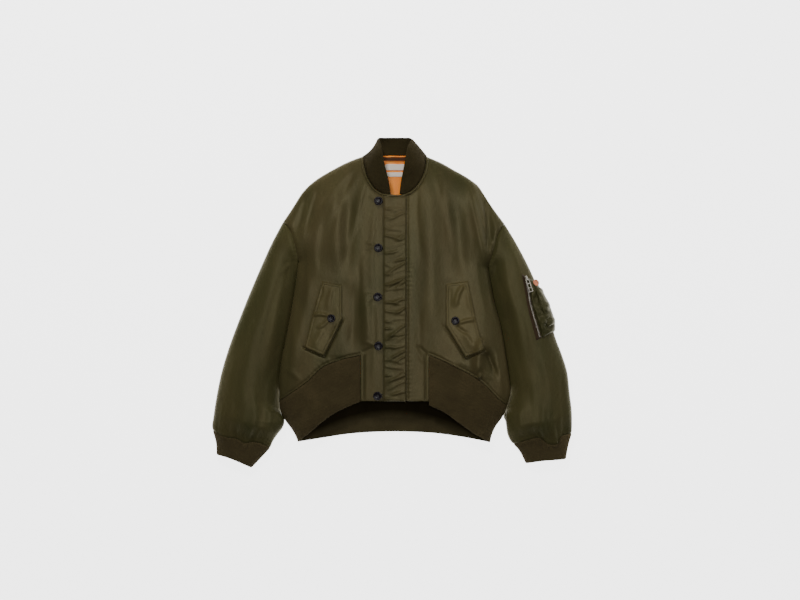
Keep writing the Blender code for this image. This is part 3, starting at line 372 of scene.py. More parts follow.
def body_share(points, upper, lower):
    """0 on the body's folded edges, and 1 this far in from the upper and the lower ones."""
    full = np.ones(len(points))
    for side in SIDES:
        full *= crown(distance(points, UPPER_EDGE[side]), upper)
        full *= crown(distance(points, LOWER_EDGE[side]), lower)
    return full


def body_top(points):
    """Height of the fronts' outer face over the plan points, without the lap."""
    points = np.atleast_2d(points)
    full = body_share(points, SHOULDER_REACH, SIDE_REACH)
    return edge_height(points) + full * (BODY_RISE + fold_relief(points, FRONT_FOLDS))


def left_top(points):
    """The left front lies on the right one, so it starts higher at its edge."""
    points = np.atleast_2d(points)
    return body_top(points) + LAP * ease((95 - points[:, 0]) / 60)


def tucked(points, side):
    """1 where the sleeve lies under the body's side, 0 away from there."""
    top = SIDE[side][0][1]
    y = points[:, 1]
    return ease((top - 6 - y) / 30) * ease((y + 270) / 24)


def body_under(points):
    """Height of the back's outer face, which rests on the ground but for its curled edges."""
    points = np.atleast_2d(points)
    edge = edge_height(points) - GAP
    height = np.zeros(len(points))
    for side in SIDES:
        d_top = distance(points, CURVES["shoulder"][side])
        height = np.maximum(height, edge * (1 - crown(d_top, CURL)))
        d = distance(points, LOWER_EDGE[side])
        plain = edge * (1 - crown(d, CURL))
        raised = TUCK_HEIGHT + 1.0
        over = np.where(
            d < 4,
            raised + (edge - raised) * (1 - crown(d, 4)),
            raised * (1 - ease((d - 20) / 26)),
        )
        share = tucked(points, side)
        height = np.maximum(height, plain + (over - plain) * share)
    return height


# Finer form, in plan. A crease is a ridge where rise is over 0 and a trough where it is
# under. It bows sideways by bow, and lean over 0 makes its left flank the steeper one. A row
# that gives no lean leans by 0.2.
Crease = namedtuple("Crease", "x0 y0 x1 y1 bow width rise lean", defaults=(0.2,))
CREASES = {
    "right": [
        (-58, 300, -112, 120, -6, 9, 1.6, 0.3),
        (-76, 318, -150, 150, 8, 8, -1.3),
        (-95, 315, -178, 205, 5, 7, 1.2, -0.3),
        (-197, 262, -224, 150, 3, 10, -3.6),
        (-180, 268, -206, 150, 5, 6, 1.3),
        (-168, 200, -176, 60, 5, 10, 1.2, 0.3),
        (-205, 130, -212, -20, -4, 8, -1.3),
        (-222, 20, -236, -120, 2, 6, 1.4, -0.3),
        (-95, 60, -112, -110, -5, 9, 1.1, 0.3),
        (-75, 110, -72, -100, 4, 7, -1.2),
        (-41, 228, -42, 20, 5, 6, 0.9),
        (-44, 10, -43, -200, -4, 6, 0.8, 0.1),
        (-39, 133, -62, 142, 2, 3.0, 0.9, 0.0),
        (-39, 126, -66, 121, -2, 3.0, -0.9, 0.0),
        (-40, 16, -64, 20, 2, 3.0, 0.8, 0.0),
        (-40, 10, -60, -4, -2, 3.0, -0.9, 0.0),
        (-38, -103, -73, -122, 3, 3.4, -1.6, 0.3),
        (-39, -98, -68, -92, 2, 3.2, 0.8, 0.0),
        (-40, 240, -55, 250, 2, 3.0, 0.8, 0.0),
        (-110, -140, -150, -128, 3, 5, -0.9),
        (-215, -185, -252, -150, 3, 7, 1.1),
        (-232, -60, -250, -200, 3, 6, -1.2),
    ],
    "left": [
        (62, 300, 72, 90, 6, 9, -1.1, 0.3),
        (95, 318, 128, 180, -6, 9, 1.2, -0.2),
        (118, 308, 140, 110, 6, 7, -1.0),
        (176, 312, 246, 40, -8, 4.0, 1.5, -0.3),
        (210, 256, 233, 128, -3, 9, -5.4, -0.3),
        (222, 240, 236, 150, 3, 5, 1.2),
        (196, 150, 226, -40, 5, 7, 1.0, 0.3),
        (232, 40, 262, -150, -5, 5, -1.2),
        (70, -10, 64, -130, 4, 8, -1.0),
        (60, -97, 87, -121, 3, 4.0, -1.6, 0.3),
        (56, -104, 78, -140, 3, 4.0, 1.0, 0.1),
        (216, -112, 242, -163, -2, 4.2, -4.6, -0.3),
        (197, -175, 209, -166, 1, 3.4, 4.8, 0.0),
        (205, -138, 226, -182, 4, 9, 1.8),
        (236, -130, 262, -205, -4, 6, 1.3),
        (180, -150, 150, -135, 3, 5, 0.9),
        (258, -160, 270, -225, 2, 4, -1.2),
        (120, -128, 166, -152, 2, 5, 1.0),
    ],
    "right_sleeve": [
        (-262, 178, -300, 60, 5, 9, 1.6),
        (-236, 100, -246, 40, 4, 5, -1.4),
        (-230, 110, -262, 70, -4, 5, 1.5),
        (-232, 96, -252, 92, 2, 3, -1.6, 0.0),
        (-300, 40, -352, -150, 9, 14, -1.4, 0.3),
        (-268, 0, -300, -180, -6, 12, 1.6),
        (-345, -90, -385, -270, 6, 13, 1.5),
        (-286, -150, -300, -290, 5, 9, -1.6),
        (-320, -200, -328, -316, -4, 8, 1.4),
        (-360, -220, -372, -306, 3, 7, -1.4),
        (-268, -190, -290, -318, 3, 7, 1.8),
        (-396, -230, -402, -300, 2, 6, 1.2),
        (-252, -90, -272, -120, 3, 4, -1.3),
        (-262, -150, -284, -185, 3, 4.5, 1.3),
    ],
    "left_sleeve": [
        (266, 176, 300, 60, -5, 8, 1.3),
        (244, 110, 252, 30, 3, 6, -1.6),
        (262, 120, 286, -20, 4, 9, 1.3),
        (250, -22, 272, -40, 2, 4, -1.4),
        (254, -48, 276, -72, 2, 4, 1.6),
        (258, -70, 278, -98, 2, 3.6, -1.5),
        (300, -20, 322, -180, -6, 11, -1.6, 0.3),
        (350, -110, 372, -250, -5, 10, 1.6, 0.3),
        (286, -110, 296, -270, -6, 9, 1.5),
        (322, -190, 330, -300, 4, 8, -1.5),
        (352, -230, 356, -312, 2, 6, 1.5),
        (392, -150, 404, -280, -4, 8, -1.5),
        (300, -250, 306, -312, 2, 5, 1.6),
        (376, -250, 384, -306, 2, 5, -1.6),
    ],
}
CREASE_GAIN = 1.6


def crease_relief(points, creases):
    total = np.zeros(len(points))
    for number, row in enumerate(creases):
        crease = Crease(*row)
        a = np.array([crease.x0, crease.y0])
        ab = np.array([crease.x1, crease.y1]) - a
        length = np.linalg.norm(ab)
        way = ab / length
        u = (points[:, :2] - a) @ way / length
        off = (points[:, 0] - a[0]) * way[1] - (points[:, 1] - a[1]) * way[0]
        off = off - crease.bow * 4 * u * (1 - u) - 0.25 * crease.width * np.sin(4.3 * u + number)
        flank = crease.width * np.where(off > 0, 1 + crease.lean, 1 - crease.lean)
        flank = flank * (0.8 + 0.4 * np.clip(u, 0, 1))
        fade = ease((u + 0.08) / 0.35) * ease((1.1 - u) / 0.4)
        total += CREASE_GAIN * crease.rise * fade * np.exp(-((off / flank) ** 2))
    return total


def waver(t, seed):
    """A smooth uneven wave about 0, from -1 to 1."""
    wave = np.sin(t + seed) + 0.6 * np.sin(1.73 * t + 2.1 * seed) + 0.4 * np.sin(2.91 * t + 3.7 * seed)
    return wave / 2


def unevenness(points, seed):
    """Shallow swells, longer down the cloth than across it."""
    x, y = points[:, 0], points[:, 1]
    bent = x + 9 * waver(y / 62, seed)
    swell = waver(bent / 17, seed + 1) * waver(y / 80 + 1.2 * waver(x / 70, seed), seed + 2)
    return 0.4 * swell + 0.5 * waver(bent / 31, seed + 4)


def along(points, curve, pieces=160):
    """Distance from a curve, and how far along it the nearest place is, for points near it."""
    pieces = 2 if len(curve) == 2 else pieces
    thin = resample(curve, np.linspace(0, segments(curve).sum(), pieces))[:, :2]
    step = np.linalg.norm(thin[1] - thin[0])
    gap_of_all, place_of_all = np.full(len(points), FAR), np.zeros(len(points))
    close = near(points, curve, 42.0)
    if not close.any():
        return gap_of_all, place_of_all
    gaps = []
    places = []
    for part in np.array_split(points[close, :2], max(1, close.sum() // 2000)):
        offset = part[:, None] - thin[None, :-1]
        ab = (thin[1:] - thin[:-1])[None]
        share = np.clip((offset * ab).sum(2) / (ab**2).sum(2), 0, 1)
        gap = np.linalg.norm(offset - share[..., None] * ab, axis=2)
        nearest = gap.argmin(1)
        row = np.arange(len(part))
        gaps.append(gap[row, nearest])
        places.append((nearest + share[row, nearest]) * step)
    gap_of_all[close], place_of_all[close] = np.concatenate(gaps), np.concatenate(places)
    return gap_of_all, place_of_all


def puckers(points, curve, pitch, depth, reach, seed):
    """Small waves along a seam that die out away from it."""
    gap, place = along(points, curve)
    wave = waver(place * math.tau / pitch + 0.35 * waver(gap / 3, seed), seed)
    return depth * wave * np.exp(-((gap / reach) ** 2)) * (0.6 + 0.4 * waver(place / 40, seed))


def groove(points, curve, width, depth):
    gap, _ = along(points, curve)
    return -depth * np.exp(-((gap / width) ** 2))


def raised(points, curve, at, width, height):
    """A rounded ridge beside a curve, this far from it."""
    gap, _ = along(points, curve)
    return height * np.exp(-(((gap - at) / width) ** 2))


def straight(x0, y0, x1, y1):
    return np.array([(x0, y0), (x1, y1)], float)


def left_normals(curve):
    """Level unit normals on the left of a plan curve, seen along it."""
    way = np.gradient(curve, axis=0)
    way /= np.linalg.norm(way, axis=1)[:, None]
    return np.stack([-way[:, 1], way[:, 0]], axis=1)


def parallel(curve, by):
    """A plan curve moved sideways: to its left, seen along it, where by is over 0."""
    return curve + by * left_normals(curve)


# How far in from the folded edges the fine form is full.
INNER_REACH = 30
# The valley at an armhole's seam: its half width and its depth.
ARMHOLE_VALLEY = (4.5, 2.8)
# The trough under a flap's free edges: its half width and its depth.
FLAP_SHADE = (1.6, 3.0)
NECK_STITCH = 5.4
RIB_STITCH = 4.2
EXTENSION_STITCH = 8.5
BAND_STITCHES = (FRONT_EDGE_X + 2.2, PLACKET_X)
PLACKET_PITCH = 13.0


def stitch_curves(side):
    """The topstitched lines of a front."""
    if side == "right":
        neck = parallel(CURVES["neckline"]["right"], -NECK_STITCH)
        seam = parallel(CURVES["rib_seam"]["right"], RIB_STITCH)
        x = EXTENSION_X[side] + EXTENSION_STITCH
        upright = straight(x, -121, x, HEM_Y)
        return [neck, seam, upright]
    neck = parallel(CURVES["neckline"]["left"], NECK_STITCH)
    neck = neck[neck[:, 0] > PLACKET_X + 1]
    seam = parallel(CURVES["rib_seam"]["left"], -RIB_STITCH)
    x = EXTENSION_X[side] - EXTENSION_STITCH
    upright = straight(x, -121, x, HEM_Y)
    band_side = straight(PLACKET_X + 2.4, 252, PLACKET_X + 2.4, HEM_Y)
    return [neck, seam, upright, band_side]


def under_flap(side):
    """The line just outside a flap's free edges, where the front lies in its shade."""
    return flap_outline(side, -FLAP_SHADE[0])[3:6]


def inner_share(points):
    """0 on the body's folded edges and 1 well inside them."""
    return body_share(points, INNER_REACH, INNER_REACH)


def front_relief(points, side):
    total = 0.7 * crease_relief(points, CREASES[side]) + unevenness(points, FRONT_SEED[side])
    total += puckers(points, CURVES["armhole"][side], 10, 1.3, 11, 2.0)
    total += groove(points, CURVES["armhole"][side], ARMHOLE_VALLEY[0], ARMHOLE_VALLEY[1])
    total += puckers(points, CURVES["rib_seam"][side], 11, 1.1, 10, 4.0)
    total += puckers(points, CURVES["neckline"][side], 12, 0.4, 9, 6.0)
    total += raised(points, CURVES["neckline"][side], 2.6, 1.5, 2.3)
    total += raised(points, CURVES["rib_seam"][side], 2.0, 1.7, 0.9)
    if side == "left":
        beside = straight(PLACKET_X, 250, PLACKET_X, HEM_Y)
        total += puckers(points, beside, PLACKET_PITCH * 0.8, 1.6, 10, 3.0)
    for curve in stitch_curves(side):
        total += groove(points, curve, 1.4, 1.5)
    corners = np.array(FLAP_CORNERS[side], float)
    gap, _ = along(points, np.concatenate([corners, corners[:1]]))
    under = np.where(inside(points, corners), 1.0, np.exp(-((gap / 8) ** 2)))
    shade = groove(points, under_flap(side), FLAP_SHADE[0], FLAP_SHADE[1])
    return total * inner_share(points) * (1 - under) - 0.25 * under + shade


def front_surface(side):
    base = left_top if side == "left" else body_top

    def surface(points):
        points = np.atleast_2d(points)
        return base(points) + front_relief(points, side)

    return surface


def placket_pleats(x, y):
    """Short pleats fanned out from the band's two rows of stitches, steeper on their lower side."""
    across = np.clip((x - FRONT_EDGE_X) / (PLACKET_X - FRONT_EDGE_X), 0, 1)
    total = np.zeros(len(x))
    y0 = 251.0
    number = 0
    while y0 > HEM_Y + 3:
        seed = 1.7 * number
        from_right = number % 5 in (0, 2, 3)
        reach = 1 - across if from_right else across
        slant = -8 - 32 * math.sin(2.3 * seed) ** 2 if from_right else 12 * math.sin(1.9 * seed)
        far = 0.5 + 0.5 * math.sin(2.7 * seed + 1) ** 2
        off = y - y0 - slant * reach - 1.2 * np.sin(6 * across + seed)
        width = (1.6 + 3.8 * reach) * np.where(off > 0, 1.4, 0.7)
        fade = ease((far - reach) / 0.35) * ease((reach + 0.04) / 0.10)
        rise = (1.1 + 0.7 * math.sin(3.1 * seed)) * (1.3 - 0.5 * ease((y0 - 40) / 160))
        total += rise * fade * np.exp(-((off / width) ** 2))
        y0 -= PLACKET_PITCH * (0.42 + 0.5 * math.sin(seed * 1.3 + 0.4) ** 2)
        number += 1
    return total


def placket_surface(points):
    """The front band's face, drawn into short slanting puckers by its two rows of stitches."""
    points = np.atleast_2d(points)
    x, y = points[:, 0], points[:, 1]
    total = placket_pleats(x, y)
    total += 0.25 * waver(x / 9, 2.0) * waver(y / 14, 3.0)
    held = 1 - np.exp(-(((x - PLACKET_X) / 3.0) ** 2)) - np.exp(-(((x - FRONT_EDGE_X - 2.2) / 2.0) ** 2))
    total *= np.clip(held, 0, 1)
    for x_line in BAND_STITCHES:
        total -= 0.7 * np.exp(-(((x - x_line) / 1.3) ** 2))
    neck = parallel(CURVES["neckline"]["left"], NECK_STITCH)
    gap, _ = along(points, CURVES["neckline"]["left"])
    total *= ease((gap - 5) / 8)
    total += groove(points, neck, 1.3, 1.8) + raised(points, CURVES["neckline"]["left"], 2.6, 1.5, 2.3)
    return left_top(points) + total


def slope_normals(surface, points, up=1.0):
    """Unit normals of a height over plan points, on its upper side or, with up=-1, below."""
    step = 0.6
    dx = (surface(points + [step, 0]) - surface(points - [step, 0])) / (2 * step)
    dy = (surface(points + [0, step]) - surface(points - [0, step])) / (2 * step)
    normal = np.stack([-dx, -dy, np.ones(len(points))], axis=1) * up
    return normal / np.linalg.norm(normal, axis=1)[:, None]


def inset(outline, by):
    """A closed outline in plan, moved inwards all round."""
    ahead = np.roll(outline, -1, axis=0) - outline
    ahead /= np.linalg.norm(ahead, axis=1)[:, None]
    back = np.roll(ahead, 1, axis=0)
    after = np.roll(outline, -1, axis=0)
    turn = np.sign(np.sum(outline[:, 0] * after[:, 1] - after[:, 0] * outline[:, 1]))
    n1 = np.stack([-ahead[:, 1], ahead[:, 0]], axis=1) * turn
    n0 = np.stack([-back[:, 1], back[:, 0]], axis=1) * turn
    middle = n0 + n1
    middle /= np.maximum((middle * n1).sum(1), 0.35)[:, None]
    return outline + by * middle


def closed_outline(step, *curves):
    """One closed outline from curves end to end, as points about `step` apart."""
    rows = []
    for curve in curves:
        curve = np.array(curve, float)
        length = segments(curve).sum()
        rows.append(resample(curve, np.linspace(0, length, max(2, round(length / step) + 1))))
    joined = np.concatenate(rows)
    keep = [joined[0]]
    for point in joined[1:]:
        if np.linalg.norm(point - keep[-1]) > 0.5:
            keep.append(point)
    if np.linalg.norm(keep[0] - keep[-1]) < 0.5:
        keep.pop()
    return np.array(keep)


def inside(points, outline):
    """Which plan points lie inside the outline."""
    result = []
    a = outline
    b = np.roll(outline, -1, axis=0)
    rise = np.where(b[:, 1] == a[:, 1], 1e-9, b[:, 1] - a[:, 1])
    for part in np.array_split(points[:, :2], max(1, len(points) // 2000)):
        x, y = part[:, :1], part[:, 1:2]
        crosses = (a[:, 1] > y) != (b[:, 1] > y)
        left = x < (b[:, 0] - a[:, 0]) * (y - a[:, 1]) / rise + a[:, 0]
        result.append((crosses & left).sum(1) % 2 == 1)
    return np.concatenate(result)


EDGE_ROWS = (0.7, 2.0, 4.0, 7.0, 11.0)
RIM_ROWS = (1.2, 3.0)
LINE_ROWS = (-2.2, -1.0, 0.0, 1.0, 2.2)


def rows_beside(curve, offsets, step):
    """Points in rows at each offset beside a plan curve."""
    length = segments(curve).sum()
    points = resample(curve, np.arange(step * 0.4, length, step))
    if len(points) < 2:
        return np.zeros((0, 2))
    return np.concatenate([parallel(points, k) for k in offsets])


def fine_net(outline, step, edges=(), lines=()):
    """A net of triangles over an outline: rows by its rim, its folded edges and its lines."""
    ring = np.concatenate([outline, outline[:1]])
    total = segments(ring).sum()
    count = int(total / 5) + 8
    rows = []
    for depth in RIM_ROWS:
        row = inset(outline, depth)
        gap, _ = along(row, ring, count)
        rows.append(row[(gap > depth * 0.8) & inside(row, outline)])
    for curve in edges:
        both = EDGE_ROWS + tuple(-k for k in EDGE_ROWS)
        row = rows_beside(curve, both, step)
        row = row[inside(row, outline)]
        gap, _ = along(row, ring, count)
        to_edge = distance(row, curve)
        rows.append(row[(gap > 3.6) | (np.abs(gap - to_edge) < 0.4) & (gap > 0.5)])
    for curve in lines:
        row = rows_beside(curve, LINE_ROWS, step)
        row = row[inside(row, outline)]
        gap, _ = along(row, ring, count)
        rows.append(row[gap > 3.6])
    low, high = outline.min(0), outline.max(0)
    columns = np.arange(low[0] + step * 0.5, high[0], step)
    grid = []
    for k, y in enumerate(np.arange(low[1] + step * 0.5, high[1], step * 0.87)):
        grid.append(np.stack([columns + (step / 2 if k % 2 else 0), np.full(len(columns), y)], axis=1))
    grid = np.concatenate(grid)
    grid = grid[inside(grid, outline)]
    gap, _ = along(grid, ring, count)
    good = gap > RIM_ROWS[-1] + step * 0.5
    for curve in edges:
        good &= distance(grid, curve) > EDGE_ROWS[-1] + step * 0.5
    for curve in lines:
        beside, _ = along(grid, curve)
        good &= beside > LINE_ROWS[-1] + step * 0.5
    rows.append(grid[good])
    points = [Vector(p) for p in outline]
    points += [Vector(p) for row in rows for p in row]
    loop = [list(range(len(outline)))]
    verts, _, faces, _, _, _ = delaunay_2d_cdt(points, [], loop, 1, 1e-4)
    return np.array([tuple(v) for v in verts]), [list(face) for face in faces]


def make_mesh(name, verts, faces, materials, second=(), uv=None):
    """A smooth closed mesh in metres. Faces listed in second take the second material."""
    mesh = bpy.data.meshes.new(name)
    mesh.from_pydata((np.asarray(verts, float) * MM).tolist(), [], faces)
    if uv is not None:
        layer = mesh.uv_layers.new(name="ribs")
        corners = np.empty(len(mesh.loops), np.int32)
        mesh.loops.foreach_get("vertex_index", corners)
        layer.data.foreach_set("uv", (np.asarray(uv, float)[corners] * MM).ravel())
    for material in materials:
        mesh.materials.append(material)
    if len(second):
        slots = np.zeros(len(mesh.polygons), np.int32)
        slots[np.asarray(second)] = 1
        mesh.polygons.foreach_set("material_index", slots)
    made = bmesh.new()
    made.from_mesh(mesh)
    bmesh.ops.recalc_face_normals(made, faces=made.faces)
    made.to_mesh(mesh)
    made.free()
    mesh.shade_smooth()
    obj = bpy.data.objects.new(name, mesh)
    bpy.context.scene.collection.objects.link(obj)
    return obj


def carried(obj, body=JACKET):
    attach(obj, body)
    return obj


def stand_for(obj, node, body=JACKET):
    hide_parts(node)
    return carried(obj, body)


def wall(name, outer, inner, faces, materials, uv=None, lined=None):
    """A closed wall between two faces that share one net. Its inner face may be lined."""
    count = len(outer)
    edges = {}
    for face in faces:
        for a, b in zip(face, face[1:] + face[:1]):
            edges[(a, b)] = edges.get((a, b), 0) + 1
    rim = [(a, b) for a, b in edges if (b, a) not in edges]
    closed = [tuple(face) for face in faces]
    closed += [tuple(count + k for k in reversed(face)) for face in faces]
    closed += [(b, a, count + a, count + b) for a, b in rim]
    second = []
    if lined is not None:
        firsts = np.array([face[0] for face in faces])
        second = len(faces) + np.nonzero(lined(outer[firsts]))[0]
    both = None if uv is None else np.concatenate([uv, uv])
    return make_mesh(name, np.concatenate([outer, inner]), closed, materials, second, both)


def grid_faces(rows, columns):
    """The faces of a net of points in rows and columns."""
    firsts = [i * columns + j for i in range(rows - 1) for j in range(columns - 1)]
    return [[a, a + 1, a + columns + 1, a + columns] for a in firsts]


def outward(points, curve, centre):
    """Level unit normals of a folded edge, pointing away from the panel."""
    nearest = np.linalg.norm(points[:, None] - curve[None], axis=2).argmin(1)
    n = left_normals(curve)[nearest]
    away = points - centre
    return n * np.sign((n * away).sum(1))[:, None]


def panel(name, outline, surface, thickness, materials, step, edges=(), lines=(), up=1.0,
          lift=0.0, roll=0.35, uv_way=None, lined=None, seam=SEAM):
    """A wall of cloth over an outline, with its outer face on the surface moved out by lift."""
    edge_line = inset(outline, seam)
    plan, faces = fine_net(edge_line, step, edges, lines)
    normals = slope_normals(surface, plan, up)
    height = surface(plan)
    folded = np.full(len(plan), 99.0)
    for curve in edges:
        gap, _ = along(plan, curve, 240)
        on_edge = gap < 0.35
        if on_edge.any():
            level = outward(plan[on_edge], curve, outline.mean(0))
            normals[on_edge] = np.column_stack([level, np.zeros(len(level))])
        folded = np.minimum(folded, gap)
    rim, _ = along(plan, np.concatenate([edge_line, edge_line[:1]]), 500)
    drop = roll * np.exp(-((rim / 1.5) ** 2)) * ease((folded - 2) / 6)
    face = np.column_stack([plan, height])
    base = lift + thickness if lift else 0.0
    outer = face + normals * (base - drop)[:, None]
    inner = face + normals * lift if lift else face - normals * thickness
    uv = None
    if uv_way is not None:
        way = np.array(uv_way, float) / np.linalg.norm(uv_way)
        uv = np.stack([plan @ way, plan @ np.array([-way[1], way[0]])], axis=1)
    return wall(name, outer, inner, faces, materials, uv, lined)


# The body is lined above this line, and faced with nylon below it.
FACING_Y = -170
# How wide the shell's nylon turnings are at its seams.
SEAM_TURNING = 12


def lined_above(y, seams=("neckline", "armhole", "shoulder", "rib_seam")):
    """The shell is lined in orange, with a nylon facing by the hem and turnings at its seams."""
    def lined(points):
        clear = points[:, 1] > y
        for side in SIDES:
            for seam in seams:
                clear &= distance(points, CURVES[seam][side]) > SEAM_TURNING
        return clear

    return lined


def front_panel(side, outline):
    edges = [LOWER_EDGE[side], UPPER_EDGE[side]]
    lines = stitch_curves(side) + [under_flap(side)]
    front = panel(side + "_front_cloth", outline, front_surface(side), SHELL, [NYLON, LINING], 3.6,
                  edges, lines, lined=lined_above(FACING_Y))
    return stand_for(front, side + "_front")


def make_fronts():
    side = "right"
    outline = closed_outline(
        3.4,
        CURVES["shoulder"][side][::-1],
        CURVES["neckline"][side],
        [(FRONT_EDGE_X, 256), (UNDERLAP_X, 253.5), (UNDERLAP_X, HEM_Y),
         (EXTENSION_X[side], HEM_Y), (EXTENSION_X[side], -121.5)],
        CURVES["rib_seam"][side][::-1],
        CURVES["side"][side][::-1],
        CURVES["armhole"][side][::-1],
    )
    right = front_panel(side, outline)

    side = "left"
    beside = CURVES["neckline"][side]
    beside = beside[beside[:, 0] > PLACKET_X]
    outline = closed_outline(
        3.4,
        beside[::-1],
        CURVES["shoulder"][side],
        CURVES["armhole"][side],
        CURVES["side"][side],
        CURVES["rib_seam"][side],
        [(EXTENSION_X[side], -120.5), (EXTENSION_X[side], HEM_Y),
         (PLACKET_X, HEM_Y), (PLACKET_X, 256)],
    )
    left = front_panel(side, outline)

    over = CURVES["neckline"][side]
    over = over[over[:, 0] < PLACKET_X]
    outline = closed_outline(
        2.6,
        [(PLACKET_X, 256), (PLACKET_X, HEM_Y), (FRONT_EDGE_X, HEM_Y), (FRONT_EDGE_X, 256)],
        over[::-1],
    )
    lines = [straight(BAND_STITCHES[0], 254, BAND_STITCHES[0], HEM_Y)]
    band = panel("front_placket_cloth", outline, placket_surface, SHELL, [NYLON, LINING], 2.4,
                 (), lines, roll=1.0)
    stand_for(band, "front_placket")
    return right, left, band


RIB_OVERLAP = 0.8


def make_back():
    outline = closed_outline(
        5.0,
        CURVES["shoulder"]["right"],
        CURVES["armhole"]["right"],
        CURVES["side"]["right"],
        BACK_RIB_CURVE - [0, RIB_OVERLAP],
        CURVES["side"]["left"][::-1],
        CURVES["armhole"]["left"][::-1],
        CURVES["shoulder"]["left"][::-1],
        BACK_NECK_CURVE[::-1],
    )
    edges = [edge[side] for edge in (LOWER_EDGE, UPPER_EDGE) for side in SIDES]
    back = panel("back_panel_cloth", outline, back_surface, SHELL, [NYLON, LINING], 6.0, edges,
                 up=-1.0, lined=lined_above(FACING_Y))
    return stand_for(back, "back_panel")


def back_surface(points):
    """The back lies on the floor: its folds are shallow troughs up from it."""
    points = np.atleast_2d(points)
    swell = np.maximum(0, crease_relief(points, BACK_CREASES))
    flat = 1 - ease((body_under(points) - 0.05) / 1.5)
    return body_under(points) + swell * flat


BACK_CREASES = [
    (-150, 280, -190, 60, 8, 10, 1.3),
    (-60, 300, -90, 80, -6, 12, 1.0),
    (70, 310, 110, 60, 8, 12, 1.1),
    (170, 270, 214, 80, -6, 9, 1.3),
    (-190, 30, -220, -150, 5, 9, 1.2),
    (-110, -20, -130, -190, -5, 10, 1.0),
    (10, 40, -12, -180, 6, 12, 1.0),
    (120, -10, 145, -190, 5, 10, 1.1),
    (215, 40, 236, -140, -4, 8, 1.2),
    (-40, 200, 30, 190, 5, 9, 0.8),
]


def make_shoulder_seams():
    """The seam allowances inside the shoulders, which close the seams' slits."""
    made = {}
    for side, by in (("right", SHELL + 0.4), ("left", -SHELL - 0.4)):
        curve = CURVES["shoulder"][side]
        row = resample(curve, np.linspace(2.0, segments(curve).sum() - 2.0, 60))
        layers = []
        for shift in (by, by * 1.2):
            moved = parallel(row, shift)
            heights = [edge_height(row) + up for up in (-3.0, 0.0, 3.0)]
            layers.append(np.concatenate([np.column_stack([moved, height]) for height in heights]))
        seam = wall(side + "_shoulder_allowance", layers[0], layers[1], grid_faces(3, len(row)), [NYLON])
        made[side] = carried(seam)
    return made


def make_hem_ribs():
    made = {}
    for side in SIDES:
        outline = closed_outline(
            3.4,
            CURVES["rib_seam"][side],
            [RIB_SEAM[side][-1], RIB_HEM[side][0]],
            CURVES["rib_hem"][side],
            CURVES["rib_side"][side][::-1],
        )
        top = left_top if side == "left" else body_top

        def soft(points, top=top, side=side):
            points = np.atleast_2d(points)
            waves = puckers(points, CURVES["rib_seam"][side], 12, 0.6, 10, 7.0)
            swell = unevenness(points, RIB_SEED[side]) * 0.6
            return top(points) + (waves + swell) * inner_share(points)

        way = (1, -0.35) if side == "left" else (1, 0.35)
        rib = panel(side + "_hem_rib_knit", outline, soft, RIB, [KNIT, KNIT], 4.0,
                    [LOWER_EDGE[side]], roll=1.3, uv_way=way, seam=2 * SEAM)
        made[side] = stand_for(rib, side + "_hem_rib")
    outline = closed_outline(
        4.0,
        BACK_RIB_CURVE,
        CURVES["rib_side"]["left"],
        BACK_HEM_CURVE[::-1],
        CURVES["rib_side"]["right"][::-1],
    )
    edges = [LOWER_EDGE["right"], LOWER_EDGE["left"]]
    back = panel("back_hem_rib_knit", outline, body_under, RIB, [SHADOWED_BACK_KNIT, SHADOWED_BACK_KNIT], 5.0, edges,
                 up=-1.0, roll=0.0, uv_way=(1, 0), seam=2 * SEAM)
    made["back"] = stand_for(back, "back_hem_rib")
    return made


FLAP_CREASES = {
    "right": [
        (-145, -32, -190, -28, 3, 3.5, 1.4),
        (-145, -38, -176, -58, -3, 4.0, 1.0),
        (-136, 38, -150, -20, 4, 6, 0.9),
        (-165, 44, -174, 0, -3, 5, -0.8),
        (-160, -60, -178, -105, 3, 7, 0.9),
        (-130, -50, -146, -88, 2, 5, -0.8),
    ],
    "left": [
        (169, 44, 147, -10, 3, 5.0, 1.5),
        (152, -47, 200, -40, -4, 3.6, 1.3),
        (150, -50, 178, -72, 3, 4.0, -0.9),
        (138, 38, 136, -20, 3, 5, -0.8),
        (176, 30, 190, -20, 3, 5, 0.8),
        (165, -70, 190, -104, -3, 7, 0.9),
    ],
}
FLAP_STITCHES = (2.2, 7.2)


def flap_outline(side, by=0.0):
    corners = np.array(FLAP_CORNERS[side], float)
    return inset(corners, by)


def ring_sides(ring):
    return [np.array([a, b]) for a, b in zip(ring, np.roll(ring, -1, axis=0))]


def flap_lines(side):
    """The sides of a flap's stitched rings."""
    return [line for depth in FLAP_STITCHES for line in ring_sides(flap_outline(side, depth))]


def flap_surface(side):
    top = left_top if side == "left" else body_top
    corners = np.array(FLAP_CORNERS[side], float)

    def surface(points):
        points = np.atleast_2d(points)
        low = ease((corners[0, 1] - points[:, 1] - FLAP_HELD) / FLAP_RISES)
        total = 1.1 * crease_relief(points, FLAP_CREASES[side])
        total += 0.35 * waver(points[:, 0] / 7, 2.0) * waver(points[:, 1] / 13, 1.0)
        ring = np.concatenate([corners, corners[:1]])
        total += puckers(points, ring, 9, 0.3, 7, 3.0)
        gap, _ = along(points, ring)
        total = total * ease(gap / 8)
        for depth in FLAP_STITCHES:
            total -= 0.3 * np.exp(-(((gap - depth) / 0.9) ** 2))
        return top(points) + FLAP_LIFT * low + np.maximum(total, -1.1 - 1.5 * low)

    return surface


def make_flaps():
    made = {}
    for side in SIDES:
        corners = np.array(FLAP_CORNERS[side], float)
        outline = closed_outline(2.6, *ring_sides(corners))
        flap = panel(side + "_pocket_flap_cloth", outline, flap_surface(side), FLAP, [LIT_FLAP_NYLON, LIT_FLAP_NYLON],
                     2.6, (), flap_lines(side), lift=GAP, roll=0.9)
        made[side] = stand_for(flap, side + "_pocket_flap")
    return made


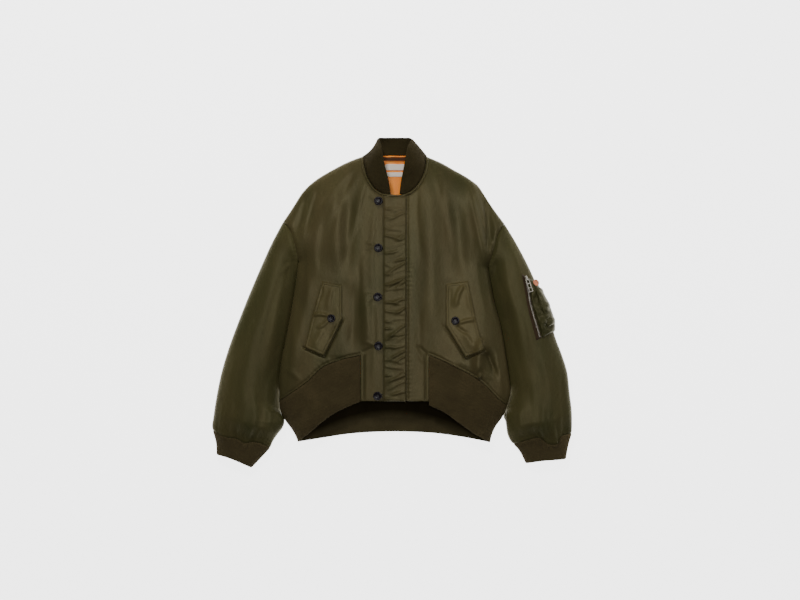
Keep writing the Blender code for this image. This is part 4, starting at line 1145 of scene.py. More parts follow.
def bowed(curve, fractions):
    """How far a curve departs from its chord at these fractions."""
    chord = curve[0] + np.outer(fractions, curve[-1] - curve[0])
    return at_fraction(curve, fractions) - chord


def sleeve_line(side, t):
    """The outer and inner ends of the sleeve's section at a fraction of its length."""
    return (
        at_fraction(CURVES["outer"][side], [t])[0],
        at_fraction(CURVES["inner"][side], [t])[0],
    )


def sleeve_plan(side, t, across):
    """Plan points on the sleeve at a fraction of its length and fractions of its width."""
    outer, inner = sleeve_line(side, t)
    within = np.clip(across, 0, 1)
    plan = outer + np.outer(across, inner - outer)
    plan += bowed(CURVES["armhole"][side], within) * max(0, 1 - t / 0.3) ** 2
    plan += bowed(CURVES["cuff_seam"][side], within) * ease((t - 0.86) / 0.14)
    return plan


def inner_base(side, t):
    """How far the sleeve's inner edge is tucked under the body at this fraction."""
    _, inner = sleeve_line(side, t)
    down = tucked(inner[None], side)[0]
    far = ease((SIDE[side][0][1] - 10 - inner[1]) / 30) * ease((inner[1] + 222) / 40)
    skirt = SKIRT * ease(t / 0.01) * (1 - far) * ease((inner[1] + 282) / 16)
    return down, TUCK * far, skirt


def edge_fold_relief(plan):
    """The fronts' folds where they run out at the armhole."""
    return body_share(plan, SHOULDER_REACH, SIDE_REACH) * fold_relief(plan, FRONT_FOLDS)


def cuff_height(s, width, rise=CUFF_RISE):
    return CUFF_EDGE + rise * crown(s, 36) * crown(width - s, 36)


def gather_waves(across, seed):
    """The sleeve's gathers at its cuff, uneven in pitch and depth."""
    turn = math.tau * GATHERS * across
    large = np.sin(turn) * (1 + 0.3 * np.sin(3.1 * across * 6 + seed))
    small = 0.35 * np.sin(2.3 * turn + seed) + 0.25 * np.sin(3.7 * turn + 2 * seed)
    return (large + small) * np.sin(math.pi * across)


def sleeve_top(side, t, across):
    """Height of the sleeve's upper face."""
    plan = sleeve_plan(side, t, across)
    down, _, _ = inner_base(side, t)
    d_out = distance(plan, UPPER_EDGE[side])
    d_in = distance(plan, CURVES["inner"][side])
    outer, inner = sleeve_line(side, t)
    width = np.linalg.norm(inner - outer)
    base = FOLD_HEIGHT + (TUCK_HEIGHT - FOLD_HEIGHT) * down
    blunt = crown(d_in, SIDE_REACH)
    sloped = 1 - (1 - np.clip(d_in / 75, 0, 1)) ** 2.5
    rise_in = blunt + (sloped - blunt) * down
    relief = BODY_RISE + (SLEEVE_RISE - BODY_RISE) * ease(t / 0.2)
    for row in SLEEVE_FOLDS[side]:
        fold = SleeveFold(*row)
        u = (t - fold.length0) / (fold.length1 - fold.length0)
        centre = fold.across0 + (fold.across1 - fold.across0) * u
        fade = ease((u + 0.2) / 0.5) * ease((1.2 - u) / 0.5)
        relief = relief + 0.7 * fold.rise * fade * np.exp(-(((across - centre) / fold.width) ** 2))
    full = FOLD_HEIGHT + relief * crown(d_out, SHOULDER_REACH)
    height = base + (full - base) * rise_in
    height = height + edge_fold_relief(plan) * max(0, 1 - t / 0.12)
    end = cuff_height(across * width, width)
    share = ease((t - 0.90) / 0.10)
    seed = GATHER_SEED[side]
    height = height + (end - height) * share
    height = height + GATHER_DEPTH * gather_waves(across, seed) * ease((t - 0.84) / 0.13)
    within = ease(d_out / 26) * ease(d_in / 22) * ease((1 - t) / 0.04)
    seams = puckers(plan, CURVES["armhole"][side], 10, 1.0, 10, 5.0)
    seams += groove(plan, CURVES["armhole"][side], ARMHOLE_VALLEY[0], ARMHOLE_VALLEY[1])
    creases = crease_relief(plan, CREASES[side + "_sleeve"]) + unevenness(plan, 2.0 + seed)
    return height + (0.5 * creases + seams) * within


def smooth_section(points, count):
    """A curled stretch of a section as evenly spaced points."""
    fine = smooth(points)
    at = np.linspace(0, segments(fine).sum(), count)
    return resample(fine, at)


def closed_section(top_s, top_z, width, tuck, count, skirt=0.0):
    """A tube's section: its upper face, then its curled inner edge, flat underside and outer edge."""
    free_inner = [(0.3 * skirt, 0.62), (0.9 * skirt - 3.0, 0.25), (skirt - 5.0, 0.04), (skirt - 13.0, 0.0)]
    held_inner = [(tuck - 1.5, 0.97), (tuck, 0.5), (tuck - 3.0, 0.0), (-6.0, 0.0)]
    share = tuck / TUCK
    low = [(top_s[-1], top_z[-1])]
    for (fs, fz), (hs, hz) in zip(free_inner, held_inner):
        low.append((width + fs + (hs - fs) * share, top_z[-1] * (fz + (hz - fz) * share)))
    low += [(width * k, 0.0) for k in (0.78, 0.56, 0.34)]
    low += [(13.0, 0.0), (7.0, 0.04 * top_z[0]), (3.0, 0.25 * top_z[0]), (0.6, 0.62 * top_z[0])]
    low.append((top_s[0], top_z[0]))
    under = smooth_section(low, count)[1:-1]
    s = np.concatenate([top_s, under[:, 0]])
    z = np.concatenate([top_z, np.maximum(under[:, 1], 0.0)])
    return s, z


def turned_in(s, z, thickness):
    """A closed section moved in by the wall's thickness."""
    way = np.stack([np.roll(s, -2) - np.roll(s, 2), np.roll(z, -2) - np.roll(z, 2)], axis=1)
    way /= np.maximum(np.linalg.norm(way, axis=1), 1e-6)[:, None]
    return s + way[:, 1] * thickness, z - way[:, 0] * thickness


def tube(name, outer_rings, inner_rings, materials, uv=None, lined=None):
    """A tube's wall between matching rings of points, open at both ends."""
    count = len(outer_rings[0])
    faces = []
    for i in range(len(outer_rings) - 1):
        for j in range(count):
            k = (j + 1) % count
            faces.append([i * count + j, i * count + k, (i + 1) * count + k, (i + 1) * count + j])
    return wall(name, np.concatenate(outer_rings), np.concatenate(inner_rings), faces, materials,
                uv, lined)


def across_points(count):
    """Fractions of a section's width, close together at its folded edges."""
    return (1 - np.cos(np.linspace(0, math.pi, count))) / 2


def sleeve_direction(side, t):
    near = np.mean(sleeve_line(side, max(0, t - 0.02)), axis=0)
    far = np.mean(sleeve_line(side, min(1, t + 0.02)), axis=0)
    return (far - near) / np.linalg.norm(far - near)


def sleeve_section(side, t):
    outer, inner = sleeve_line(side, t)
    width = np.linalg.norm(inner - outer)
    across = across_points(71)
    _, tuck, skirt = inner_base(side, t)
    top = sleeve_top(side, t, across)
    s, z = closed_section(across * width, top, width, tuck, 44, skirt)
    return s, z, width


# The sleeve's seam allowance inside the body: how far back and how deep under the shell it lies.
TURNING = ((-5.0, 0.7), (-2.0, 0.6), (0.2, 0.5))
SLEEVE_WALL = 1.5


def make_sleeves():
    made = {}
    for side in SIDES:
        marks = np.concatenate([
            np.linspace(0, 0.03, 7)[:-1],
            np.linspace(0.03, 0.86, 120)[:-1],
            np.linspace(0.86, 1.0, 48),
        ])
        outer_rings, inner_rings = [], []
        for back, deep in TURNING:
            s, z, width = sleeve_section(side, 0)
            shift = sleeve_direction(side, 0) * back
            for rings, depth in ((outer_rings, deep), (inner_rings, deep + 0.8)):
                a, b = turned_in(s, z, SHELL + depth)
                plan = sleeve_plan(side, 0, a / width) + shift
                rings.append(np.column_stack([plan, b]))
        for t in marks:
            start = 0.4 * (1 - t) - GAP * t
            s, z, width = sleeve_section(side, t)
            thick = SLEEVE_WALL + (SHELL - SLEEVE_WALL) * math.exp(-((min(t, 1 - t) / 0.03) ** 2))
            s_in, z_in = turned_in(s, z, thick)
            shift = sleeve_direction(side, t) * start
            roll = 0.35 * math.exp(-((t / 0.0035) ** 2)) + 1.4 * math.exp(-(((1 - t) / 0.006) ** 2))
            for rings, a, b in ((outer_rings, s, z), (inner_rings, s_in, z_in)):
                plan = sleeve_plan(side, t, a / width) + shift
                rings.append(np.column_stack([plan, b]))
            middle = outer_rings[-1] - inner_rings[-1]
            outer_rings[-1] = outer_rings[-1] - middle / thick * roll
        sleeve = tube(side + "_sleeve_cloth", outer_rings, inner_rings, [SHADED_SLEEVE_NYLON, LINING],
                      lined=lined_above(-330, ("armhole", "outer", "inner")))
        made[side] = stand_for(sleeve, side + "_sleeve")
    return made


# How far the cuff's seam allowance reaches back inside the sleeve.
CUFF_TURN = 5.0


def make_cuffs():
    made = {}
    for side in SIDES:
        outer_rings, inner_rings, ribs = [], [], []
        marks = np.concatenate([[0, 0], np.linspace(0, 0.5, 16)[:-1], np.linspace(0.5, 1.0, 12)])
        turning = [(CUFF_TURN, 3.2), (0.8, 3.0)] + [(0.0, 0.0)] * (len(marks) - 2)
        for t, (back, deep) in zip(marks, turning):
            outer = at_fraction(CURVES["cuff_outer"][side], [t])[0]
            inner = at_fraction(CURVES["cuff_inner"][side], [t])[0]
            width = np.linalg.norm(inner - outer)
            across = across_points(71)
            top = cuff_height(across * width, width, CUFF_RISE - 2.5 * t)
            top = top + GATHER_DEPTH * gather_waves(across, GATHER_SEED[side]) * (1 - ease(t / 0.5))
            s, z = closed_section(across * width, top, width, 0.0, 44)
            s_in, z_in = turned_in(s, z, deep + 0.8 if deep else RIB)
            if deep:
                s, z = turned_in(s, z, deep)
            shift = sleeve_direction(side, 1.0) * back
            around = np.concatenate([[0], np.cumsum(np.hypot(np.diff(s), np.diff(z)))])
            for rings, a, b in ((outer_rings, s, z), (inner_rings, s_in, z_in)):
                u = a / width
                plan = outer + np.outer(u, inner - outer) - shift
                within = np.clip(u, 0, 1)
                plan += bowed(CURVES["cuff_seam"][side], within) * (1 - ease(t / 0.6))
                plan += bowed(CURVES["cuff_end"][side], within) * ease(t)
                rings.append(np.column_stack([plan, b]))
            roll = 1.2 * math.exp(-((t / 0.03) ** 2)) + 1.3 * math.exp(-(((1 - t) / 0.02) ** 2))
            middle = outer_rings[-1] - inner_rings[-1]
            if not deep:
                outer_rings[-1] = outer_rings[-1] - middle / RIB * roll
            ribs.append(np.stack([around, np.full(len(s), t * 60)], axis=1))
        cuff = tube(side + "_cuff_knit", outer_rings, inner_rings, [CUFF_KNIT, CUFF_KNIT],
                    np.concatenate(ribs))
        made[side] = stand_for(cuff, side + "_cuff")
    return made


def fronts_at(point):
    """Height of the front that the collar's seam meets at this plan point."""
    surface = left_top if point[0] > FRONT_EDGE_X + 1 else body_top
    return float(surface(point[None])[0])


def spline(points, count):
    """A smooth curve through points that count as evenly spaced."""
    t = np.arange(len(points))
    slope = np.gradient(points, axis=0)
    at = np.linspace(0, len(points) - 1, count)
    i = np.clip(at.astype(int), 0, len(points) - 2)
    return between(points, slope, i, (at - t[i])[:, None], 1.0)


def make_collar():
    """The collar's band, folded over at the sides so that it lies nearly flat."""
    across = np.concatenate([[0, 0.03, 0.07], np.linspace(0.12, 0.9, 17), [0.94, 0.97, 0.99, 1.0]])
    rows = []
    for row in COLLAR:
        station = Station(*row)
        seam = np.array([station.seam[0], station.seam[1], 0.0])
        seam[2] = station.seam[2] if station.seam[2] is not None else fronts_at(seam[:2])
        middle, free = np.array(station.middle, float), np.array(station.free, float)
        u = across[:, None]
        rows.append(seam * (1 - u) * (1 - 2 * u) + middle * 4 * u * (1 - u) + free * u * (2 * u - 1))
    coarse = np.array(rows)
    stations = (len(coarse) - 1) * 8 + 1
    fine = np.stack([spline(coarse[:, j], stations) for j in range(len(across))], axis=1)
    normals = np.cross(np.gradient(fine, axis=0), np.gradient(fine, axis=1))
    normals /= np.linalg.norm(normals, axis=2)[..., None]
    if normals[0, 1, 2] < 0:
        normals = -normals
    roll = 1.3 * np.exp(-((across / 0.03) ** 2)) + 1.4 * np.exp(-(((1 - across) / 0.03) ** 2))
    soft = 0.35 * waver(np.arange(stations) / 7, 2.0)[:, None] * np.sin(math.pi * across)[None]
    outer = fine + normals * (soft - roll[None])[..., None]
    inner = fine - normals * RIB
    run = run_along(fine[:, 0])
    uv = np.stack(np.meshgrid(run, across * 55, indexing="ij"), axis=2).reshape(-1, 2)
    faces = [face[:1] + face[:0:-1] for face in grid_faces(stations, len(across))]
    collar = wall("collar_knit", outer.reshape(-1, 3), inner.reshape(-1, 3), faces,
                  [SHADED_COLLAR_KNIT, SHADED_COLLAR_KNIT], uv)
    return stand_for(collar, "collar")


def strip(name, low, high, height, thickness, material, bend=0.0, round_end=0.0, soft=0.0, step=2.0):
    """A thin piece inside the neck, bowed or softly uneven, with rounded ends if asked."""
    columns = np.linspace(low[0], high[0], max(3, int((high[0] - low[0]) / step)))
    levels = np.linspace(0, 1, max(4, int((high[1] - low[1]) / step)))
    outer, inner = [], []
    for v in levels:
        for x in columns:
            u = (x - low[0]) / (high[0] - low[0])
            ends = min(x - low[0], high[0] - x)
            shrink = 1.0
            if round_end and ends < round_end:
                shrink = math.sqrt(max(0.04, 1 - (1 - ends / round_end) ** 2))
            y = (low[1] + high[1]) / 2 + (v - 0.5) * (high[1] - low[1]) * shrink
            wave = soft * math.sin(x / 5.3 + 2 * v) * math.sin(math.pi * v)
            z = height + bend * 4 * u * (1 - u) + max(0.0, wave)
            outer.append((x, y, z + thickness))
            inner.append((x, y, z))
    faces = grid_faces(len(levels), len(columns))
    return wall(name, np.array(outer), np.array(inner), faces, [material])


def make_inside_neck():
    lining = SHELL + GAP
    on_lining = lining + 1.2 + GAP
    cloth = strip("back_lining_cloth", (-50, 215), (62, 346.2), lining, 1.2, LINING, soft=0.25, step=3.0)
    cloth.data.materials.append(NYLON)
    for polygon in cloth.data.polygons:
        x, y, _ = polygon.center / MM
        polygon.material_index = int(not -8 - 0.26 * (y - 257) < x < 22 + 0.24 * (y - 257))
    stand_for(cloth, "back_lining")
    loop = strip("hanger_loop_tape", (-42, 334.6), (53, 343), on_lining, 1.2, TAPE, bend=1.5, step=1.2)
    stand_for(loop, "hanger_loop")
    label = strip("neck_label_cloth", (-17.5, 312), (33.5, 326.5), on_lining, 0.8, LABEL, 0, 5.0, 0.3, 1.0)
    stand_for(label, "neck_label")
    small = strip("size_label_cloth", (-14.5, 297), (29.5, 307.5), on_lining, 0.8, LABEL, 0, 2.0, 0.2, 1.0)
    stand_for(small, "size_label")
    return cloth, loop, label, small


def stitches(name, curves, surface, pitch=3.4, length=2.3, radius=0.34, body=JACKET):
    """Rows of topstitches: each a small spindle of thread that lies half sunk in the cloth."""
    verts, faces = [], []
    for curve in curves:
        total = segments(curve).sum()
        middles = np.arange(pitch, total - pitch * 0.5, pitch)
        if not len(middles):
            continue
        heads = resample(curve, middles - length / 2)
        tails = resample(curve, middles + length / 2)
        z_head, z_tail = surface(heads), surface(tails)
        for (x0, y0), (x1, y1), z0, z1 in zip(heads, tails, z_head, z_tail):
            a = np.array([x0, y0, z0 - 0.1])
            b = np.array([x1, y1, z1 - 0.1])
            way = (b - a) / np.linalg.norm(b - a)
            side = np.cross(way, (0, 0, 1))
            side /= np.linalg.norm(side)
            up = np.cross(side, way)
            first = len(verts)
            verts.append(a)
            for share in (0.22, 0.78):
                for k in range(5):
                    turn = math.tau * k / 5
                    off = math.cos(turn) * side + (math.sin(turn) + 0.35) * up
                    verts.append(a + (b - a) * share + radius * off)
            verts.append(b)
            for k in range(5):
                n = (k + 1) % 5
                faces.append((first, first + 1 + n, first + 1 + k))
                faces.append((first + 1 + k, first + 1 + n, first + 6 + n, first + 6 + k))
                faces.append((first + 11, first + 6 + k, first + 6 + n))
    obj = make_mesh(name, np.array(verts), faces, [THREAD])
    return carried(obj, body)


def make_stitches():
    made = {}
    for side in SIDES:
        made[side] = stitches(side + "_front_stitches", stitch_curves(side), front_surface(side))
        base = flap_surface(side)
        made[side + "_flap"] = stitches(side + "_flap_stitches", flap_lines(side),
                                        lambda p, base=base: base(p) + GAP + FLAP)
    rows = [straight(x, 248, x, HEM_Y + 2) for x in BAND_STITCHES]
    neck = parallel(CURVES["neckline"]["left"], NECK_STITCH)
    rows.append(neck[neck[:, 0] < PLACKET_X - 1])
    made["placket"] = stitches("placket_stitches", rows, placket_surface)
    return made


def lathe(name, profile, steps, material):
    """A turned closed solid about +Z: rows are radius and height, from the top down."""
    verts = []
    for r, z in profile:
        for k in range(steps):
            a = math.tau * k / steps
            verts.append((r * math.cos(a), r * math.sin(a), z))
    faces = []
    for i in range(len(profile) - 1):
        for k in range(steps):
            n = (k + 1) % steps
            faces.append((i * steps + k, i * steps + n, (i + 1) * steps + n, (i + 1) * steps + k))
    top = len(verts)
    verts.append((0, 0, profile[0][1]))
    low = len(verts)
    verts.append((0, 0, profile[-1][1]))
    last = (len(profile) - 1) * steps
    for k in range(steps):
        n = (k + 1) % steps
        faces.append((top, n, k))
        faces.append((low, last + k, last + n))
    return make_mesh(name, np.array(verts), faces, [material])


def rod(name, start, end, radius, material, steps=10):
    """A short round bar with domed ends."""
    a, b = Vector(start), Vector(end)
    length = (b - a).length
    dome, tip = radius * 0.5, radius * 0.4
    profile = [(dome, length + tip), (radius, length), (radius, 0), (dome, -tip)]
    obj = lathe(name, profile, steps, material)
    obj.rotation_euler = (b - a).to_track_quat("Z", "Y").to_euler()
    obj.location = a * MM
    return obj


def baked(obj):
    """Applies an object's modifiers and its place to its mesh."""
    graph = bpy.context.evaluated_depsgraph_get()
    mesh = bpy.data.meshes.new_from_object(obj.evaluated_get(graph))
    mesh.transform(obj.matrix_world)
    obj.modifiers.clear()
    obj.data = mesh
    obj.matrix_world = Matrix.Identity(4)
    return obj


BUTTON_PROFILE = [
    (0.10, 2.30), (0.35, 2.32), (0.52, 2.42), (0.60, 2.66), (0.66, 3.02), (0.73, 3.26), (0.82, 3.32),
    (0.90, 3.18), (0.96, 2.84), (1.00, 2.30), (1.00, 1.60), (0.97, 0.80), (0.90, 0.34), (0.60, 0.10),
    (0.20, 0.00),
]
HOLE_REACH = 2.1
HOLE_RADIUS = 0.95


def make_button(node, radius, shank, matrix, turn):
    """A glossy button with a dished middle, four holes and two rows of thread."""
    profile = [(r * radius, z + shank) for r, z in BUTTON_PROFILE] + [(0.17 * radius, 0.0)]
    disc = lathe(node + "_disc", profile, 56, HORN)
    holes = []
    for sx in (-1, 1):
        for sy in (-1, 1):
            place = (sx * HOLE_REACH, sy * HOLE_REACH)
            hole = rod("hole", (*place, shank + 0.9), (*place, shank + 5), HOLE_RADIUS, HORN, 14)
            holes.append(hole)
            cut = disc.modifiers.new("hole", "BOOLEAN")
            cut.operation = "DIFFERENCE"
            cut.object = hole
    bpy.context.view_layer.update()
    disc.matrix_world = matrix @ Matrix.Rotation(turn, 4, "Z")
    for hole in holes:
        hole.matrix_world = disc.matrix_world @ hole.matrix_world
    bpy.context.view_layer.update()
    baked(disc)
    for hole in holes:
        bpy.data.objects.remove(hole)
    disc.data.shade_smooth()
    disc.data.set_sharp_from_angle(angle=math.radians(40))
    stand_for(disc, node)
    for sy in (-1, 1):
        height = shank + 2.45
        start = (-HOLE_REACH - 0.2, sy * HOLE_REACH, height)
        end = (HOLE_REACH + 0.2, sy * HOLE_REACH, height)
        thread = rod(node + ("_thread_a" if sy < 0 else "_thread_b"), start, end, 0.55, THREAD)
        bpy.context.view_layer.update()
        thread.matrix_world = matrix @ Matrix.Rotation(turn, 4, "Z") @ thread.matrix_world
        bpy.context.view_layer.update()
        baked(thread)
        carried(thread)
    return disc


def standing(point, surface, lift):
    """The frame of a piece that stands on a surface, on the surface's own normal."""
    plan = np.array([point], float)
    normal = Vector(slope_normals(surface, plan)[0])
    base = Vector((point[0], point[1], float(surface(plan)[0])))
    matrix = normal.to_track_quat("Z", "Y").to_matrix().to_4x4()
    matrix.translation = (base + normal * lift) * MM
    return matrix


def make_buttons():
    for k, (x, y) in enumerate(zip(BUTTON_X, BUTTON_Y), start=1):
        matrix = standing((x, y), body_top, GAP)
        make_button(f"front_button_{k}", BUTTON_RADIUS, 2.7, matrix, 0.5 * k)
        make_loop(k, x, y)
    for side in SIDES:
        top = left_top if side == "left" else body_top
        below = FLAP_CORNERS[side][0][1] - FLAP_BUTTON[side][1]
        low = ease((below - FLAP_HELD) / FLAP_RISES)
        above = GAP + FLAP + GAP + FLAP_LIFT * float(low) + 0.2
        matrix = standing(FLAP_BUTTON[side], top, above)
        make_button(side + "_flap_button", FLAP_BUTTON_RADIUS, 0.6, matrix, 0.8)


def make_loop(number, x, y):
    """The cord loop round a button's shank, out from under the left front's edge."""
    radius, cord = 3.3, 1.0
    end = FRONT_EDGE_X - 0.4
    turn = [
        (x + radius * math.cos(a), y + radius * math.sin(a))
        for a in np.linspace(math.pi / 2, 3 * math.pi / 2, 17)
    ]
    plan = np.array([(end, y + radius), *turn, (end, y - radius)])
    height = body_top(plan) + GAP + cord
    curve = bpy.data.curves.new(f"button_loop_{number}_cord", "CURVE")
    curve.dimensions = "3D"
    curve.bevel_depth = cord * MM
    curve.bevel_resolution = 3
    curve.use_fill_caps = True
    line = curve.splines.new("POLY")
    line.points.add(len(plan) - 1)
    for point, (px, py), z in zip(line.points, plan, height):
        point.co = (px * MM, py * MM, z * MM, 1)
    curve.materials.append(CORD)
    obj = bpy.data.objects.new(f"button_loop_{number}_cord", curve)
    bpy.context.scene.collection.objects.link(obj)
    stand_for(obj, f"button_loop_{number}")


SLEEVE_MARKS = np.concatenate([np.linspace(0.0, 0.2, 9)[:-1], np.linspace(0.2, 0.6, 41)])
PLAN_MARKS = np.linspace(-0.4, 1.4, 181)
SLEEVE_TABLE = []


def on_sleeve(t, across, lift):
    """A point on the left sleeve's outer face, moved out. Across under 0 is below its edge."""
    if not SLEEVE_TABLE:
        for mark in SLEEVE_MARKS:
            s, z, width = sleeve_section("left", mark)
            s = np.concatenate([s[-14:], s[:71]])
            z = np.concatenate([z[-14:], z[:71]])
            run = np.concatenate([[0], np.cumsum(np.hypot(np.diff(s), np.diff(z)))])
            plan = sleeve_plan("left", mark, PLAN_MARKS)
            SLEEVE_TABLE.append((s, z, width, run - run[14], plan))
    i = int(np.clip(np.searchsorted(SLEEVE_MARKS, t) - 1, 0, len(SLEEVE_MARKS) - 2))
    share = (t - SLEEVE_MARKS[i]) / (SLEEVE_MARKS[i + 1] - SLEEVE_MARKS[i])
    near = on_section(i, across, lift)
    return near + (on_section(i + 1, across, lift) - near) * share


def on_section(i, across, lift):
    s, z, width, run, plan = SLEEVE_TABLE[i]
    at = across * width
    here = np.array([np.interp(at, run, s), np.interp(at, run, z)])
    ahead = np.array([np.interp(at + 2.5, run, s), np.interp(at + 2.5, run, z)])
    behind = np.array([np.interp(at - 2.5, run, s), np.interp(at - 2.5, run, z)])
    tangent = (ahead - behind) / np.linalg.norm(ahead - behind)
    s_out, z_out = here[0] - tangent[1] * lift, here[1] + tangent[0] * lift
    x, y = (np.interp(s_out / width, PLAN_MARKS, plan[:, k]) for k in range(2))
    return np.array([x, y, z_out])


# How far the zip bows towards the body, as a fraction of the sleeve's width.
ZIP_BOW = 0.07


def pocket_place(u, v):
    """Length and width fractions at a place in the pocket: u down it, v out from the zip."""
    corners = np.array(POCKET_CORNERS)
    top = corners[0] * (1 - v) + corners[3] * v
    low = corners[1] * (1 - v) + corners[2] * v
    bow = ZIP_BOW * math.sin(math.pi * min(max(u, 0), 1)) * min(1, 1 - v)
    return top * (1 - u) + low * u + np.array([0, bow])


def sleeve_patch(name, u_range, v_range, lift, thickness, puff, counts, materials, relief=None):
    """A piece of cloth on the sleeve pocket's place, puffed up in its middle."""
    outer, inner = [], []
    for u in np.linspace(*u_range, counts[0]):
        for v in np.linspace(*v_range, counts[1]):
            t, across = pocket_place(u, v)
            swell_u = crown((u - u_range[0]) * 100, 18) * crown((u_range[1] - u) * 100, 18)
            swell_v = crown((v - v_range[0]) * 60, 14) * crown((v_range[1] - v) * 60, 14)
            extra = relief(u, v) * float(swell_u * swell_v) if relief else 0.0
            base = lift + puff * (0.5 + 0.8 * u) * float(swell_u * swell_v) + max(extra, -puff * 0.4)
            edge = min(u - u_range[0], u_range[1] - u) * 150
            edge = min(edge, min(v - v_range[0], v_range[1] - v) * 55)
            inner.append(on_sleeve(t, across, base))
            rounding = 0.4 * thickness * math.exp(-((edge / 1.4) ** 2))
            outer.append(on_sleeve(t, across, base + thickness - rounding))
    return wall(name, np.array(outer), np.array(inner), grid_faces(*counts), materials)


def pocket_relief(u, v):
    """Folds of the sleeve pocket: it sags over its lower edge and pulls in at the zip."""
    slack = 1.8 * math.sin(9 * u + 4 * v) * math.sin(math.pi * v)
    hollow = -3.2 * math.exp(-(((u - 0.86 + 0.1 * v) / 0.05) ** 2)) * v
    return slack + hollow + 1.3 * math.sin(23 * u + 8 * v) + 0.4 * math.sin(41 * u - 13 * v)


def pen_relief(u, v):
    fine = 0.4 * math.sin(37 * u - 11 * v)
    return 1.4 * math.sin(19 * u + 7 * v) + fine - 1.8 * math.exp(-(((u - 0.7) / 0.06) ** 2))


ZIP_TOOTH = (1.7, 1.0, 1.3)
ZIP_PITCH = 1.6


def box_verts(size, matrix):
    corners = [(x, y, z) for x in (-0.5, 0.5) for y in (-0.5, 0.5) for z in (-0.5, 0.5)]
    return [matrix @ Vector((a * size[0], b * size[1], c * size[2])) for a, b, c in corners]


BOX_FACES = [(0, 1, 3, 2), (4, 6, 7, 5), (0, 4, 5, 1), (2, 3, 7, 6), (0, 2, 6, 4), (1, 5, 7, 3)]


def make_zip():
    """The zip's two tapes and its interlocked metal teeth."""
    tape = sleeve_patch("sleeve_zip_tape", (0, 1.0), (-0.2, 0.075), GAP, 0.7, 0.0, (60, 10), [ZIP_TAPE])
    stand_for(tape, "sleeve_zip_chain")
    path, out = (
        np.array([on_sleeve(*pocket_place(u, 0.0), GAP + up) for u in np.linspace(0.0, 0.985, 90)])
        for up in (1.1, 3.1)
    )
    run = run_along(path)
    verts, faces = [], []
    for k, place in enumerate(np.arange(1.0, run[-1] - 1, ZIP_PITCH / 2)):
        here = np.array([np.interp(place, run, path[:, c]) for c in range(3)])
        ahead = np.array([np.interp(place + 1, run, path[:, c]) for c in range(3)])
        above = np.array([np.interp(place, run, out[:, c]) for c in range(3)])
        y_axis = Vector(ahead - here).normalized()
        z_axis = Vector(above - here).normalized()
        x_axis = y_axis.cross(z_axis).normalized()
        matrix = Matrix((x_axis, y_axis, x_axis.cross(y_axis))).transposed().to_4x4()
        matrix.translation = Vector(here) + x_axis * (0.75 if k % 2 else -0.75)
        first = len(verts)
        verts += box_verts(ZIP_TOOTH, matrix)
        faces += [tuple(first + n for n in face) for face in BOX_FACES]
    teeth = make_mesh("sleeve_zip_teeth", np.array([tuple(v) for v in verts]), faces, [NICKEL])
    teeth.data.shade_flat()
    carried(teeth)
    return tape


def make_sleeve_pocket():
    pocket = sleeve_patch("sleeve_pocket_cloth", (0, 1), (0.1, 1), 0.9, SHELL, 3.4, (90, 44),
                          [SHADED_POCKET_NYLON, SHADED_POCKET_NYLON], pocket_relief)
    stand_for(pocket, "sleeve_pocket")
    pen = sleeve_patch("pen_pocket_cloth", (0.1, 0.87), (0.45, 0.97), 7.2, THIN, 1.4, (70, 26),
                       [SHADED_POCKET_NYLON, SHADED_POCKET_NYLON], pen_relief)
    stand_for(pen, "pen_pocket")
    return pocket, pen, make_zip(), make_tab()


# The tab hangs down over the pocket's upper corner.
TAB_SHIFT = np.array([2.0, -7.0, 10.0])


def make_tab():
    """A small round orange tab with an overlocked rim, as high as wide and a little oval."""
    low, high = (np.array(corner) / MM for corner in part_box("sleeve_tab"))
    here, out = (on_sleeve(*pocket_place(-0.12, 0.8), lift) for lift in (GAP, GAP + 2))
    z_axis = (Vector(out - here).normalized() + Vector((0, 0, 2.2))).normalized()
    above, below = (on_sleeve(*pocket_place(u, 0.8), GAP) for u in (-0.15, -0.09))
    y_axis = Vector(above - below).normalized()
    x_axis = y_axis.cross(z_axis).normalized()
    y_axis = z_axis.cross(x_axis)
    matrix = Matrix((x_axis, y_axis, z_axis)).transposed().to_4x4()
    matrix.translation = Vector((low + high) / 2 + TAB_SHIFT - np.array(z_axis) * 1.5) * MM
    rim = [(5.4, 2.6), (5.9, 3.0), (6.6, 3.0), (7.1, 2.4), (7.2, 1.6), (6.9, 0.6), (6.2, 0.1), (2.0, 0.1)]
    profile = [(1.0, 2.1), (3.0, 2.2), (4.8, 2.2)] + rim
    disc = lathe("sleeve_tab_ribbon", profile, 40, ORANGE_TAB)
    disc.matrix_world = matrix @ Matrix.Diagonal((0.95, 1.12, 1, 1))
    bpy.context.view_layer.update()
    baked(disc)
    return stand_for(disc, "sleeve_tab")


def linear(rgb):
    """sRGB numbers from 0 to 255 as the linear colour that a shader takes."""
    shares = [c / 255 for c in rgb]
    return tuple(c / 12.92 if c <= 0.04045 else ((c + 0.055) / 1.055) ** 2.4 for c in shares) + (1.0,)


# The line where the back's hem rib comes out from under the fronts: y = -middle - bow * x * x.
# Above it the rib gets a painted shadow of the fronts' hem, which fades in over the last size.
SHADOW_LINE_MIDDLE = 0.2665
SHADOW_LINE_BOW = 1.45
SHADOW_LINE_FADE = 0.017


# The wave texture's scale for one band a metre.
BAND = math.tau / 20
COLOUR, NUMBER = "NodeSocketColor", "NodeSocketFloat"
BLACK = (0.0, 0.0, 0.0, 1.0)


def socket_name(key):
    return key.replace("_", " ").title().replace("Ior", "IOR")


